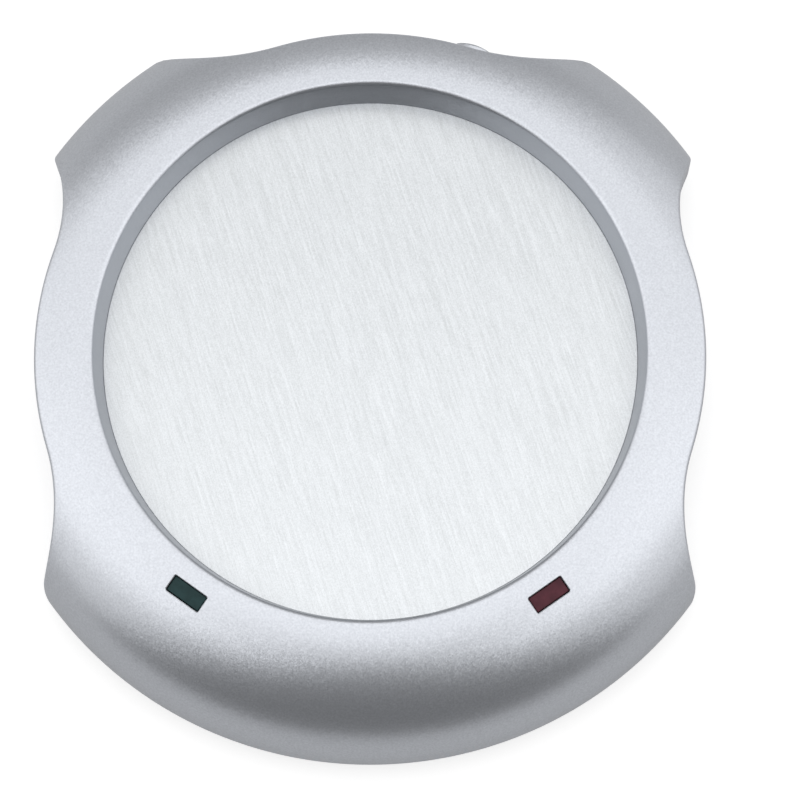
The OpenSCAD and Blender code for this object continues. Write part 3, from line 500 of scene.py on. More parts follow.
silver = satinSilverPaint()
silverRing = newPiece("silverRing", [skin(columnRings(shellColumn, 0, ring["wall"]), wrap=True)])


# Screw boss that ends inside the crown's wall
def boss(r, at, a, low):
    steps, cx, cy, inset = 40, *polar(at, a), ring["wall"] / 2
    loop = [polar(r, 360 * i / steps) + (cx, cy) for i in range(steps)]
    return skin([[(cx, cy, low)] * steps, [(x, y, low) for x, y in loop],
                 [(x, y, crownZ(hypot(x, y), inset)) for x, y in loop],
                 [(cx, cy, crownZ(at, inset))] * steps])


combine(silverRing, [boss(shell["caseBossR"], *at, shell["joinZ"]) for at in casePlaces]
        + [boss(shell["smallBossR"], *at, ring["plateLowZ"]) for at in bossPlaces], "UNION")
holes = [windowCutter(a) for a in window["angles"].values()]
holes += [rod(shell["plateRoomR"], shell["plateRoomZ"], ring["wellLowZ"], 160)]
holes += rods(casePlaces, shell["caseHoleR"], *shell["caseHoleZ"], 32)
holes += rods(bossPlaces, shell["smallHoleR"], *shell["smallHoleZ"], 32)
c, wallAt = shell["holeChamfer"], ring["waistR"]
nearWall, pastWall = wallAt - shell["holeDepth"], wallAt + 1
for r, a, z in ((shell["buttonHoleR"], ring["buttonAngle"], ring["buttonZ"]),
                (shell["inletHoleR"], ring["inletAngle"], ring["inletZ"])):
    holes.append(lathe([(0, nearWall), (r, nearWall), (r, wallAt - c),
                        (r + c + 1, pastWall), (0, pastWall)], 64, outwards(a, z)))
combine(silverRing, holes)
dress(silverRing, silver, replaces=["top_cover"])
print("silver ring:", len(silverRing.data.polygons), "faces")

lensMaterials = {
    "greenLens": smokedPolycarbonate("smokedGreenPolycarbonate", "#243e3f", "#1b3132"),
    "redLens": smokedPolycarbonate("smokedRedPolycarbonate", "#592c36", "#49232c"),
}
for name, slotName in (("greenLens", "green_lens"), ("redLens", "red_lens")):
    lens = newPiece(name, [lensSolid(window["angles"][name])])
    dress(lens, lensMaterials[name], replaces=[slotName], angle=50)
print("lenses")

plate = {
    "r": 45.32, "flangeR": 47.8, "flangeT": 1.0, "edgeBevel": 0.04, "brushAngle": 18.5,
    "postR": 2.4, "postAt": 36.5, "postLowZ": 13.4, "postAngles": (45, 135, 225, 315),
    "pilotR": 1.25, "pilotDepth": 4.2, "pilotFromZ": 12.0, "chamfer": 0.2, "uvTile": 0.1,
    "streaks": ((3.5, 0.17, 2.0), (9.0, 0.35, 1.0), (0.24, 0.2, 2.0)),  # length, width, detail
}
postPlaces = [(plate["postAt"], a) for a in plate["postAngles"]]
k, topZ, lowZ, b = plate, ring["plateZ"], ring["plateLowZ"], plate["edgeBevel"]
profile = [(0, topZ), (k["r"] / 2, topZ), (k["r"] - b - 0.1, topZ)]
profile += arc(k["r"] - b, topZ - b, b, sweep(pi / 2, 0, 3))
profile += [(k["r"], lowZ + k["flangeT"]), (k["flangeR"], lowZ + k["flangeT"]),
            (k["flangeR"], lowZ), (k["r"] / 2, lowZ), (0, lowZ)]
heatingPlate = newPiece("heatingPlate", [lathe(profile[::-1], 192)])
combine(heatingPlate, rods(postPlaces, k["postR"], k["postLowZ"], lowZ + k["chamfer"], 40,
                           bottom=k["chamfer"]), "UNION")
combine(heatingPlate, rods(postPlaces, k["pilotR"], k["pilotFromZ"],
                           k["postLowZ"] + k["pilotDepth"], 24))
turn = radians(k["brushAngle"])
brush = heatingPlate.data.uv_layers.new(name="brush")
for loop, spot in zip(heatingPlate.data.loops, brush.data):
    x, y, z = heatingPlate.data.vertices[loop.vertex_index].co
    across = x * cos(turn) + y * sin(turn)
    along = y * cos(turn) - x * sin(turn)
    spot.uv = across / k["uvTile"] + 0.5, along / k["uvTile"] + 0.5
dress(heatingPlate, brushedAluminium(), replaces=["heating_plate"], angle=25)
print("heating plate")

button = {
    "r": 3.6, "flangeR": 4.5, "flangeT": 1.0, "flangeFace": 53.85, "end": 60.8, "dome": 0.9,
    "hollowR": 2.65, "hollowEnd": 59.0, "socketR": 1.6, "socketIn": 56.0, "socketBoreR": 1.05,
    "socketEnd": 57.7, "round": 0.35, "domeIn": 0.21, "roundDown": 0.1925, "chamfer": 0.1,
}
k, c = button, button["chamfer"]
ballR = (k["r"] ** 2 + k["dome"] ** 2) / (2 * k["dome"])
profile = []
for share in (0, 0.25, 0.5, 0.75, 0.9):  # domed end
    r = share * (k["r"] - k["domeIn"])
    profile.append((r, k["end"] - ballR + sqrt(ballR ** 2 - r * r)))
profile += arc(k["r"] - k["round"], k["end"] - k["dome"] - k["roundDown"], k["round"],
               [radians(t) for t in (75, 72, 54, 36, 18, 0)])
back = k["flangeFace"] - k["flangeT"]
profile += [(k["r"], k["flangeFace"]), (k["flangeR"] - c, k["flangeFace"]),
            (k["flangeR"], k["flangeFace"] - c), (k["flangeR"], back), (k["hollowR"], back),
            (k["hollowR"], k["hollowEnd"]), (k["socketR"], k["hollowEnd"]),
            (k["socketR"], k["socketIn"]), (k["socketBoreR"], k["socketIn"]),
            (k["socketBoreR"], k["socketEnd"]), (0, k["socketEnd"])]
pushed = outwards(ring["buttonAngle"], ring["buttonZ"])
powerButton = newPiece("powerButton", [lathe(profile, 64, pushed)])
dress(powerButton, silver, body="button", replaces=["power_button"], angle=40)
print("power button")

base = {
    "inset": 1.5, "wall": 2.2, "lipInset": 2.55, "lipTopZ": 9.0, "lowZ": 1.6, "floorZ": 3.6,
    "bottomRound": 0.8, "innerRound": 0.6, "sunk": 0.5, "towerR": 4.0, "towerTopZ": 8.0,
    "towerChamfer": 0.2, "postR": 2.6, "postTopZ": 6.0, "postChamfer": 0.15,
    "ledPostR": 56.24, "ledPostA": 20, "rearPostR": 44.9, "rearPostA": 30,
    "screwHeadHoleR": 3.1, "screwHoleR": 1.7, "screwHoleZ": (3.0, 12.0), "seatZ": 4.2,
    "footAt": 49.5, "footHoleR": 5.1, "footHoleZ": 2.4, "pilotR": 1.25, "pilotZ": (2.6, 7.0),
    "vents": 7, "ventW": 2.0, "ventL": 30.0, "ventPitch": 5.0,
    "panelY": -32.0, "panelL": 34.0, "panelW": 14.0, "panelDepth": 0.3, "panelCornerR": 1.0,
    "notchAngles": (17, -18), "notchAt": 54.3, "notchW": 10.0, "notchL": 6.0,
}


# One slice of the tray: p on its side wall, lip on the lip that enters the ring, q on the inside
def baseColumn(p, lip, q):
    s, lowRound, inRound = base, base["bottomRound"], base["innerRound"]
    lipTop, innerTop = [min(s["lipTopZ"], crownZ(hypot(x, y), s["lipInset"]))
                        for x, y in (lip[:2], q[:2])]
    column = [(p[0] * f, p[1] * f, s["lowZ"]) for f in (0, 0.4, 0.75, 0.92)]
    column += edgeArc(p, lowRound, s["lowZ"] + lowRound, sweep(1.5 * pi, pi, 4))
    column += [(p[0], p[1], ring["edgeZ"]), (lip[0], lip[1], ring["edgeZ"]),
               (lip[0], lip[1], lipTop), (q[0], q[1], innerTop)]
    column += edgeArc(q, inRound, s["floorZ"] + inRound, sweep(pi, 1.5 * pi, 3))
    return column + [(q[0] * f, q[1] * f, s["floorZ"]) for f in (0.9, 0.6, 0.3, 0)]


def slot(cx, cy, length, width, low, high, corner):
    loop = roundedLoop(length / 2, width / 2, corner, 6, (1, 1))
    return skin([[(cx + u, cy + v, z) for u, v in loop] for z in (low, high)])


k, rooted = base, base["floorZ"] - base["sunk"]
baseTray = newPiece("baseTray", [skin(columnRings(
    baseColumn, k["inset"], k["lipInset"], k["inset"] + k["wall"]))])
ledPosts = [(k["ledPostR"], 180 + s * k["ledPostA"]) for s in (-1, 1)]
rearPosts = [(k["rearPostR"], s * k["rearPostA"]) for s in (-1, 1)]
combine(baseTray, rods(casePlaces, k["towerR"], rooted, k["towerTopZ"], top=k["towerChamfer"])
        + rods(ledPosts + rearPosts, k["postR"], rooted, k["postTopZ"], 40,
               top=k["postChamfer"]), "UNION")
footPlaces = [(k["footAt"], a) for a in ring["caseScrewAngles"]]
cuts = rods(casePlaces, k["screwHeadHoleR"], 0, k["seatZ"])
cuts += rods(footPlaces, k["footHoleR"], 0, k["footHoleZ"], 64)
cuts += [slot(0, (i - (k["vents"] - 1) / 2) * k["ventPitch"], k["ventL"], k["ventW"],
              0, k["floorZ"] + 1, k["ventW"] / 2 - 0.01) for i in range(k["vents"])]
cuts += [slot(0, k["panelY"], k["panelL"], k["panelW"], 0, k["lowZ"] + k["panelDepth"],
              k["panelCornerR"])]
combine(baseTray, cuts)
cuts = rods(casePlaces, k["screwHoleR"], *k["screwHoleZ"], 32)
cuts += rods(ledPosts + rearPosts, k["pilotR"], *k["pilotZ"], 24)
halfW, halfL = k["notchW"] / 2, k["notchL"] / 2
for a in k["notchAngles"]:  # room in the lip for the button's flange and for the inlet
    loop = [polar(k["notchAt"], a) + polar(u, a + 90) + polar(v, a)
            for u, v in ((-halfW, -halfL), (halfW, -halfL), (halfW, halfL), (-halfW, halfL))]
    cuts.append(skin([[(x, y, z) for x, y in loop] for z in (ring["edgeZ"], k["lipTopZ"] + 1)]))
combine(baseTray, cuts)
# ABS moulded in a spark-eroded tool: an even, fine, dull texture that hides scratches
darkAbs = grained("sparkTexturedAbs", "#2b2c2e", "#323335", 0.35, 0.03, (0.45, 0.65))
dress(baseTray, darkAbs, replaces=["base_cover"])
print("base tray:", len(baseTray.data.polygons), "faces")

foot = {"r": 5.0, "height": 2.4, "edge": 0.6}
k, e = foot, foot["edge"]
# Compression-moulded rubber: nearly black and quite matt, with a dry bloom
rubber = grained("blackMouldedRubber", "#141414", "#1c1c1c", 0.25, 0.02, (0.7, 0.9))
profile = [(0, 0)] + arc(k["r"] - e, e, e, sweep(-pi / 2, 0, 3))
profile += [(k["r"], k["height"]), (0, k["height"])]
for at, nodeName in zip(footPlaces, ("foot_rear_right", "foot_front_right", "foot_front_left",
                                     "foot_rear_left")):
    rubberFoot = newPiece(nodeName + "Rubber", [lathe(profile, 64, upright(*at))])
    dress(rubberFoot, rubber, replaces=[nodeName])
print("feet")


# Geometry Nodes tree with named inputs: its sizes with their usual values, then its materials
def startTree(name, sizes, materials=("Material",)):
    tree = bpy.data.node_groups.new(name, "GeometryNodeTree")
    tree.is_modifier = True
    face = tree.interface
    face.new_socket("Geometry", in_out="INPUT", socket_type="NodeSocketGeometry")
    for label, value in sizes.items():
        kind = "NodeSocketInt" if isinstance(value, int) else "NodeSocketFloat"
        face.new_socket(label, in_out="INPUT", socket_type=kind).default_value = value
    for label in materials:
        face.new_socket(label, in_out="INPUT", socket_type="NodeSocketMaterial")
    face.new_socket("Geometry", in_out="OUTPUT", socket_type="NodeSocketGeometry")
    add = partial(addNode, tree)
    return add, add("GroupInput").outputs


def endTree(add, *shapes):
    clad = []
    for shape, material in shapes:
        real = add("RealizeInstances", {"Geometry": shape})
        clad.append(add("SetMaterial", {"Geometry": real, "Material": material}))
    joined = add("JoinGeometry", {"Geometry": clad})
    return add("GroupOutput", {"Geometry": joined}).id_data


def roundWire(add, curve, radius, steps):
    circle = add("CurvePrimitiveCircle", {"Resolution": steps, "Radius": radius})
    return add("CurveToMesh", {"Curve": curve, "Profile Curve": circle, "Fill Caps": True})


# Plain mesh that a tree grows on points; sizes are in millimetres, others are passed as they are
def grow(name, tree, points, sizes, others, edges=()):
    piece = plainMesh(name, inMetres(points), edges)
    modifier = piece.modifiers.new(tree.name, "NODES")
    modifier.node_group = tree
    values = {label: size * mm for label, size in sizes.items()} | others
    for item in tree.interface.items_tree:
        if item.in_out == "INPUT" and item.name in values:
            modifier[item.identifier] = values[item.name]
    applyModifiers(piece)
    return piece


def panHeadScrew():
    add, given = startTree("panHeadScrew", {
        "Head Radius": 2.4 * mm, "Head Height": 1.5 * mm, "Shank Radius": 1.2 * mm,
        "Length": 6.0 * mm, "Pitch": 0.9 * mm, "Turned Over": 0.0, "Seed": 3})
    place = add("InputPosition")
    placeZ = add("SeparateXYZ", {"Vector": place}).outputs["Z"]
    parts = {}
    for label, source, factor in (
            ("core", "Shank Radius", 0.86), ("ridge", "Shank Radius", 0.14),
            ("middle", "Length", 0.5), ("threadEnd", "Length", 0.94),
            ("tipFrom", "Length", 0.72), ("headLow", "Head Height", -1.0),
            ("headMiddle", "Head Height", -0.5), ("headRound", "Head Height", -0.3),
            ("slotLong", "Head Radius", 1.1), ("slotWide", "Head Radius", 0.28),
            ("slotDeep", "Head Height", 1.2), ("over", "Turned Over", pi)):
        parts[label] = add("Math", {0: given[source], 1: factor}, operation="MULTIPLY")
    bars = []
    for radius, depth, middle, around, up in (
            (parts["core"], given["Length"], parts["middle"], 20, 12),
            (given["Head Radius"], given["Head Height"], parts["headMiddle"], 32, 8)):
        bar = add("MeshCylinder", {
            "Vertices": around, "Side Segments": up, "Radius": radius, "Depth": depth})
        bars.append(add("Transform", {
            "Geometry": bar,
            "Translation": add("CombineXYZ", {"Z": middle})}))
    shank, head = bars

    # Shank with a rolled thread, both drawn in towards the tip
    turns = add("Math", {0: parts["threadEnd"], 1: given["Pitch"]}, operation="DIVIDE")
    helix = add("CurveSpiral", {
        "Resolution": 20, "Rotations": turns, "Start Radius": parts["core"],
        "End Radius": parts["core"], "Height": parts["threadEnd"]})
    level = add("SetCurveNormal", {"Curve": helix}, mode="Z_UP")
    threaded = add("JoinGeometry", {"Geometry": [shank, roundWire(add, level, parts["ridge"], 4)]})
    pinch = add("MapRange", {
        "Value": placeZ, "From Min": parts["tipFrom"], "From Max": given["Length"],
        "To Min": 1.0, "To Max": 0.5})

    # Head with a rounded top and a cross recess
    height = add("MapRange", {
        "Value": placeZ, "From Min": parts["headRound"], "From Max": parts["headLow"],
        "To Max": 1.0})
    cubed = add("Math", {0: height, 1: 3.0}, operation="POWER")
    dome = add("Math", {0: cubed, 1: -0.24, 2: 1.0}, operation="MULTIPLY_ADD")
    shaped = []
    for geometry, width in ((threaded, pinch), (head, dome)):
        stretch = add("CombineXYZ", {"X": width, "Y": width, "Z": 1.0})
        moved = add("VectorMath", {0: place, 1: stretch}, operation="MULTIPLY")
        shaped.append(add("SetPosition", {"Geometry": geometry, "Position": moved}))
    slotSize = add("CombineXYZ", {
        "X": parts["slotLong"], "Y": parts["slotWide"], "Z": parts["slotDeep"]})
    block = add("MeshCube", {"Size": slotSize})
    drop = add("CombineXYZ", {"Z": parts["headLow"]})
    cross = [add("Transform", {"Geometry": block, "Translation": drop, "Rotation": (0, 0, angle)})
        for angle in (0, pi / 2)]
    carved = add("MeshBoolean", {"Mesh 1": shaped[1], "Mesh 2": cross}, operation="DIFFERENCE",
                 solver="EXACT")
    screw = add("JoinGeometry", {"Geometry": [shaped[0], carved]})

    # Each is driven home at its own angle
    spin = add("RandomValue", {2: 0.0, 3: pi, "Seed": given["Seed"]}, data_type="FLOAT").outputs[1]
    turned = add("CombineXYZ", {"X": parts["over"], "Z": spin})
    driven = add("InstanceOnPoints", {
        "Points": given["Geometry"], "Instance": screw, "Rotation": turned})
    return endTree(add, (driven, given["Material"]))


# Steel, bright zinc-plated: cool grey, with small soft highlights on the turned heads
zincSteel = grained("zincPlatedSteel", "#a4a7aa", "#b4b7b9", 0.4, 0.005, (0.28, 0.4), Metallic=1.0)
screws = {  # places by radius and angle about the axis, seat height, length, and how they point
    "retainer_screws": {"at": bossPlaces, "z": 14.9, "length": 5.5},
    "clamp_screws": {"at": postPlaces, "z": 12.6, "length": 4.6},
    "strap_screws": {"at": [(7.5, 0), (7.5, 180), (22.5, 180)], "z": 12.0, "length": 2.2},
    "led_board_screws": {"at": ledPosts, "z": 7.6, "length": 4.2, "over": 1.0},
    "rear_board_screws": {"at": rearPosts, "z": 7.6, "length": 4.2, "over": 1.0},
    "case_screws": {"at": casePlaces, "z": base["seatZ"], "length": 10.0, "shankR": 1.4,
                    "headR": 2.8, "headH": 1.8, "pitch": 1.1},
}
screwTree = panHeadScrew()
for nodeName, s in screws.items():
    group = grow(nodeName + "Zinc", screwTree, [(*polar(*at), s["z"]) for at in s["at"]],
                 sizes={"Head Radius": s.get("headR", 2.4), "Head Height": s.get("headH", 1.5),
                        "Shank Radius": s.get("shankR", 1.2), "Length": s["length"],
                        "Pitch": s.get("pitch", 0.9)},
                 others={"Turned Over": s.get("over", 0.0), "Material": zincSteel})
    dress(group, None, replaces=[nodeName], angle=30)
print("screws")

spring = {
    "r": 2.2, "wireR": 0.2, "turns": 6.0, "start": 50.55, "end": 58.95, "closed": 0.42,
    "travel": 2.0,
}


def coilSpring():
    add, given = startTree("groundEndSpring", {
        "Radius": 2.2 * mm, "Wire Radius": 0.2 * mm, "Turns": 6.0, "Length": 7.8 * mm,
        "Closed Pitch": 0.42 * mm})
    closed = given["Closed Pitch"]
    coil = add("CurveSpiral", {
        "Resolution": 28, "Rotations": given["Turns"], "Start Radius": given["Radius"],
        "End Radius": given["Radius"], "Height": 0.0})
    along = add("SplineParameter")
    turn = add("Math", {0: 1.0, 1: given["Turns"]}, operation="DIVIDE")
    lastTurn = add("Math", {0: 1.0, 1: turn}, operation="SUBTRACT")
    openRise = add("Math", {0: closed, 1: -2.0, 2: given["Length"]}, operation="MULTIPLY_ADD")
    rises = [add("MapRange", {"Value": along, "From Min": low, "From Max": high, "To Max": rise})
        for low, high, rise in ((0.0, turn, closed), (turn, lastTurn, openRise),
                                (lastTurn, 1.0, closed))]
    height = rises[0]
    for rise in rises[1:]:
        height = add("Math", {0: height, 1: rise}, operation="ADD")
    lift = add("CombineXYZ", {"Z": height})
    wound = add("SetPosition", {"Geometry": coil, "Offset": lift})
    return endTree(add, (roundWire(add, wound, given["Wire Radius"], 10), given["Material"]))


# Drawn spring wire: darker than plate, with a long bright line along each turn
springSteel = grained("drawnSpringSteel", "#8e9092", "#9fa1a3", 0.3, 0.004, (0.25, 0.35),
                      Metallic=1.0)
springLong = spring["end"] - spring["start"]
returnSpring = grow("returnSpring", coilSpring(), [(0, -ring["axisY"], 0)],
                    sizes={"Radius": spring["r"], "Wire Radius": spring["wireR"],
                           "Length": springLong - 2 * spring["wireR"],
                           "Closed Pitch": spring["closed"]},
                    others={"Turns": spring["turns"], "Material": springSteel})
axisAt = Vector((0, ring["axisY"], 0))
toPlace = pushed.to_3x3().to_4x4()
toPlace.translation = (pushed @ Vector((0, 0, spring["start"] + spring["wireR"])) + axisAt) * mm
returnSpring.data.transform(toPlace)
dress(returnSpring, None, replaces=["button_spring"], angle=60)
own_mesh(returnSpring)
print("return spring")

leads = {
    "radius": 0.7, "wireR": 0.3, "strip": 1.1, "solderR": 0.7, "runZ": 4.8, "lift": 1.4,
    "step": 2.6, "boardTopZ": 7.6, "rearBoardIn": 39.4, "ledBoardIn": 47.44, "padIn": 1.5,
    "statEndX": 12.0, "statTabZ": 10.85, "tabX": 4.0, "tabFirstY": 14.46, "tabLastY": 32.76,
    "tabLowZ": 10.4, "fuseEndX": 13.0, "fuseY": -16.0, "fuseZ": 10.1, "besideInlet": 5.9,
    "behindInlet": 38.2, "turnBeside": 4.6, "ledBoardA": 194,
}


def solderedLead():
    add, given = startTree("solderedLead", {
        "Radius": 0.7 * mm, "Wire Radius": 0.3 * mm, "Strip": 1.1 * mm,
        "Solder Radius": 0.7 * mm}, ("Insulation", "Wire"))
    path = add("MeshToCurve", {"Mesh": given["Geometry"]})
    path = add("CurveSplineType", {"Curve": path}, spline_type="CATMULL_ROM")
    path = add("SetSplineResolution", {"Geometry": path, "Resolution": 10})
    length = add("CurveLength", {"Curve": path})
    until = add("Math", {0: length, 1: given["Strip"]}, operation="SUBTRACT")
    covered = add("TrimCurve", {"Curve": path, 4: given["Strip"], 5: until}, mode="LENGTH")
    ends = add("CurveEndpointSelection")
    drop = add("MeshUVSphere", {"Segments": 16, "Rings": 8, "Radius": given["Solder Radius"]})
    drops = add("InstanceOnPoints", {"Points": path, "Selection": ends, "Instance": drop})
    tinned = add("JoinGeometry", {
        "Geometry": [roundWire(add, path, given["Wire Radius"], 10), drops]})
    return endTree(add, (roundWire(add, covered, given["Radius"], 16), given["Insulation"]),
                   (tinned, given["Wire"]))


def onBoard(r, a, h):
    return (*polar(r + leads["padIn"], a), leads["boardTopZ"] + h * leads["lift"])


def fromRear(a):
    return [onBoard(leads["rearBoardIn"], a, h) for h in (0, 1.8)]


def way(share, a, h):
    return (*polar(share * leads["rearBoardIn"], a), leads["runZ"] + h * leads["lift"])


def ledLead(i):
    k = leads
    inner = i * k["step"] / k["rearBoardIn"]
    beside = degrees(asin(k["besideInlet"] / k["rearBoardIn"])) + ring["inletAngle"]
    behind = k["behindInlet"] / k["rearBoardIn"]
    b = k["ledBoardA"] - i * k["step"]
    return fromRear(beside + i * k["turnBeside"]) + [
        way(behind - inner, -27, 2), way(0.87 - inner, -54, 0), way(0.8 - inner, -90, 0),
        way(0.91 - inner, -132, 0), way(1.1 - inner, -160, 1.8),
        onBoard(k["ledBoardIn"], b, 1.8), onBoard(k["ledBoardIn"], b, 0)]


k = leads
statX, statZ, tabX, tabZ = k["statEndX"], k["statTabZ"], k["tabX"], k["tabLowZ"]
fuseX, fuseY, fuseZ = k["fuseEndX"], k["fuseY"], k["fuseZ"]
leadPaths = {
    "thermostat_lead": fromRear(10.5) + [
        way(0.9, 22, 3.2), way(0.76, 37, 1.4), way(0.57, 63, 1.4), (statX + 6, 2, statZ - 1),
        (statX + 2.5, 0, statZ), (statX, 0, statZ)],
    "link_lead": [
        (-statX, 0, statZ), (-statX - 2.5, 0, statZ), (-statX - 4, 4, statZ - 2.5),
        (-10, 11, tabZ - 4), (-2, k["tabFirstY"] - 0.5, tabZ - 4),
        (tabX, k["tabFirstY"], tabZ - 2.2), (tabX, k["tabFirstY"], tabZ)],
    "fuse_lead": fromRear(4.5) + [
        way(0.84, -14, 3), way(0.64, -30, 1), way(0.55, -68, 0.7), way(0.59, -110, 1),
        (-fuseX - 7, fuseY + 1, fuseZ - 1), (-fuseX - 2.5, fuseY, fuseZ),
        (-fuseX, fuseY, fuseZ)],
    "return_lead": [
        (fuseX, fuseY, fuseZ), (fuseX + 2.5, fuseY, fuseZ), way(0.68, 117, 1.6),
        way(0.66, 86, 0), way(0.68, 48, 0), way(0.7, 12.5, 0), way(0.79, -5.5, 1),
        (-tabX, k["tabLastY"], tabZ - 2.5), (-tabX, k["tabLastY"], tabZ)],
    "red_led_lead": ledLead(0), "green_led_lead": ledLead(1), "common_led_lead": ledLead(2),
}
# Hot-dipped tin on copper wire: bright, slightly uneven and soft at the edges
tinnedCopper = grained("tinnedCopper", "#b2b3b2", "#c2c3c2", 0.4, 0.004, (0.2, 0.32), Metallic=1.0)
siliconeLead = {  # extruded silicone insulation: soft sheen, faint bloom
    colour + "_lead": grained(colour + "Silicone", dark, light, 0.6, 0.004, (0.42, 0.55))
    for colour, dark, light in (("white", "#d6d5d0", "#e2e1dc"), ("red", "#8f1f1b", "#a02823"),
                                ("green", "#1f5c2e", "#286a38"), ("black", "#161616", "#202020"))}
leadSlots = {"red_led_lead": "red_lead", "green_led_lead": "green_lead",
             "common_led_lead": "black_lead"}
leadTree = solderedLead()
for nodeName, points in leadPaths.items():
    slotName = leadSlots.get(nodeName, "white_lead")
    lead = grow(nodeName + "Soldered", leadTree, points,
                edges=[(i, i + 1) for i in range(len(points) - 1)],
                sizes={"Radius": k["radius"], "Wire Radius": k["wireR"], "Strip": k["strip"],
                       "Solder Radius": k["solderR"]},
                others={"Insulation": siliconeLead[slotName], "Wire": tinnedCopper})
    dress(lead, None, replaces=[nodeName], angle=40)
print("leads")

pad = {
    "r": 40.5, "lowZ": 13.4, "topZ": 15.4, "round": 0.5, "postHoleR": 2.7, "screwHoleR": 1.5,
    "screwsY": (-22.5, -7.5, 7.5), "slotSize": (4.0, 1.7), "slotsAt": ((4, 14.46), (-4, 32.76)),
    "slotCornerR": 0.3,
}
# Needled ceramic fibre: off-white, dull and fluffy, with a deep soft nap and no highlight
ceramicFelt = grained("ceramicFibreFelt", "#d9d5ca", "#e8e5dc", 0.5, 0.12, (0.9, 1.0), 6.0)
k, b, through = pad, pad["round"], (pad["lowZ"] - 1, pad["topZ"] + 1)
profile = [(r, k["lowZ"]) for r in (0, k["r"] / 2, k["r"] - b)]
profile += arc(k["r"] - b, k["lowZ"] + b, b, sweep(-pi / 2, 0, 3)[1:])
profile += [(r, k["lowZ"] + k["topZ"] - z) for r, z in profile[::-1]]
insulationFelt = newPiece("insulationFelt", [lathe(profile, 160)])
cuts = rods(postPlaces, k["postHoleR"], *through, 40)
cuts += rods([(y, 0) for y in k["screwsY"]], k["screwHoleR"], *through, 24)
cuts += [slot(*at, *k["slotSize"], *through, k["slotCornerR"]) for at in k["slotsAt"]]
combine(insulationFelt, cuts)
dress(insulationFelt, ceramicFelt, replaces=["insulation_pad"], angle=50)
print("insulation felt")

# Glass-filled polyester, injection moulded: dull black with a faint fibre grain
blackPlastic = grained("blackMouldedPolyester", "#161617", "#1e1e20", 0.3, 0.01, (0.4, 0.55))
inlet = {
    "w": 9.0, "h": 7.0, "cornerR": 0.5, "back": 41.4, "face": 53.7, "edge": 0.25, "noseR": 3.3,
    "nose": 56.5, "noseChamfer": 0.2, "boreR": 2.8, "floor": 46.0, "boreChamfer": 0.25,
    "rootR": 0.8, "rootHoleR": 0.85, "pinR": 1.05, "pinEnd": 55.5, "pinRound": 0.4,
    "tail": 40.2,
}
k, place = inlet, outwards(ring["inletAngle"], ring["inletZ"])
c, e, b = k["boreChamfer"], k["edge"], k["pinRound"]
case = [[place @ Vector((u, v, d))
         for u, v in roundedLoop(k["w"] / 2 - t, k["h"] / 2 - t, k["cornerR"])]
        for t, d in ((e, k["back"]), (0, k["back"] + e), (0, k["face"] - e), (e, k["face"]))]
barrelInlet = newPiece("barrelInlet", [skin(case)])
combine(barrelInlet, [rod(k["noseR"], k["face"] - 0.5, k["nose"], 64, place,
                          top=k["noseChamfer"])], "UNION")
bore = [(0, k["floor"]), (k["boreR"], k["floor"]), (k["boreR"], k["nose"] - c),
        (k["boreR"] + 2 * c, k["nose"] + c), (0, k["nose"] + c)]
combine(barrelInlet, [lathe(bore, 64, place), rod(k["rootHoleR"], k["back"] - 1,
                                                  k["floor"] - 0.5, 32, place)])
combine(barrelInlet, [rod(k["rootHoleR"], k["floor"] - 1, k["floor"] + 1, 32, place)])
dress(barrelInlet, blackPlastic, replaces=["power_inlet"], angle=40)
profile = [(0, k["tail"]), (k["rootR"], k["tail"]), (k["rootR"], k["floor"]),
           (k["pinR"], k["floor"])]
profile += arc(k["pinR"] - b, k["pinEnd"] - b, b, sweep(0, pi / 2, 3)) + [(0, k["pinEnd"])]
centrePin = newPiece("centrePin", [lathe(profile, 40, place)])
dress(centrePin, tinnedCopper, replaces=["inlet_pin"])
print("inlet")


def pressedMica():
    # Pressed muscovite flakes: amber patches a few millimetres wide, split edges, silky sheen
    material, add, shader, place = startMaterial("pressedMica", "#9c8660", IOR=1.58)
    flakes = add("TexVoronoi", {"Vector": place, "Scale": 1 / (2.5 * mm)})
    tone = add("SeparateColor", {"Color": flakes.outputs["Color"]}).outputs
    feed(shader, {
        "Base Color": ramp(add, tone["Red"], 0.0, 1.0, ("#88734d", "#b09a72")),
        "Roughness": add("MapRange", {"Value": tone["Green"], "To Min": 0.25, "To Max": 0.5}),
        "Normal": add("Bump", {"Height": tone["Blue"], "Distance": 0.02 * mm})})
    return material


def solderMask():
    # Green solder mask over copper tracks about 1 mm wide, which show as paler lines
    material, add, shader, place = startMaterial("greenSolderMask", "#14502b", Roughness=0.35)
    tracks = add("TexBrick", {
        "Vector": place, "Color1": linear("#14502b"), "Color2": linear("#17572f"),
        "Mortar": linear("#2b7a45"), "Scale": 1 / mm, "Mortar Size": 0.35,
        "Mortar Smooth": 0.1, "Brick Width": 7.5, "Row Height": 2.54})
    feed(shader, {"Base Color": tracks, "Normal": add("Bump", {
        "Height": tracks.outputs["Fac"], "Distance": 0.035 * mm})})
    return material


def braidedSleeve():
    # Varnished glass-fibre braid: yarns about 0.5 mm wide crossing at right angles
    material, add, shader, place = startMaterial("varnishedGlassBraid", "#cfc6a8", Roughness=0.5)
    yarns = []
    for angle in (pi / 4, -pi / 4):
        turned = add("Mapping", {"Vector": place, "Rotation": (0, 0, angle)})
        yarns.append(add("TexWave", {
            "Vector": turned, "Scale": pi / (10 * 0.5 * mm)}).outputs["Fac"])
    crossed = add("Math", dict(enumerate(yarns)), operation="MAXIMUM")
    feed(shader, {
        "Base Color": ramp(add, crossed, 0.2, 0.9, ("#a39a7c", "#d8d0b4")),
        "Normal": add("Bump", {"Height": crossed, "Distance": 0.08 * mm})})
    return material


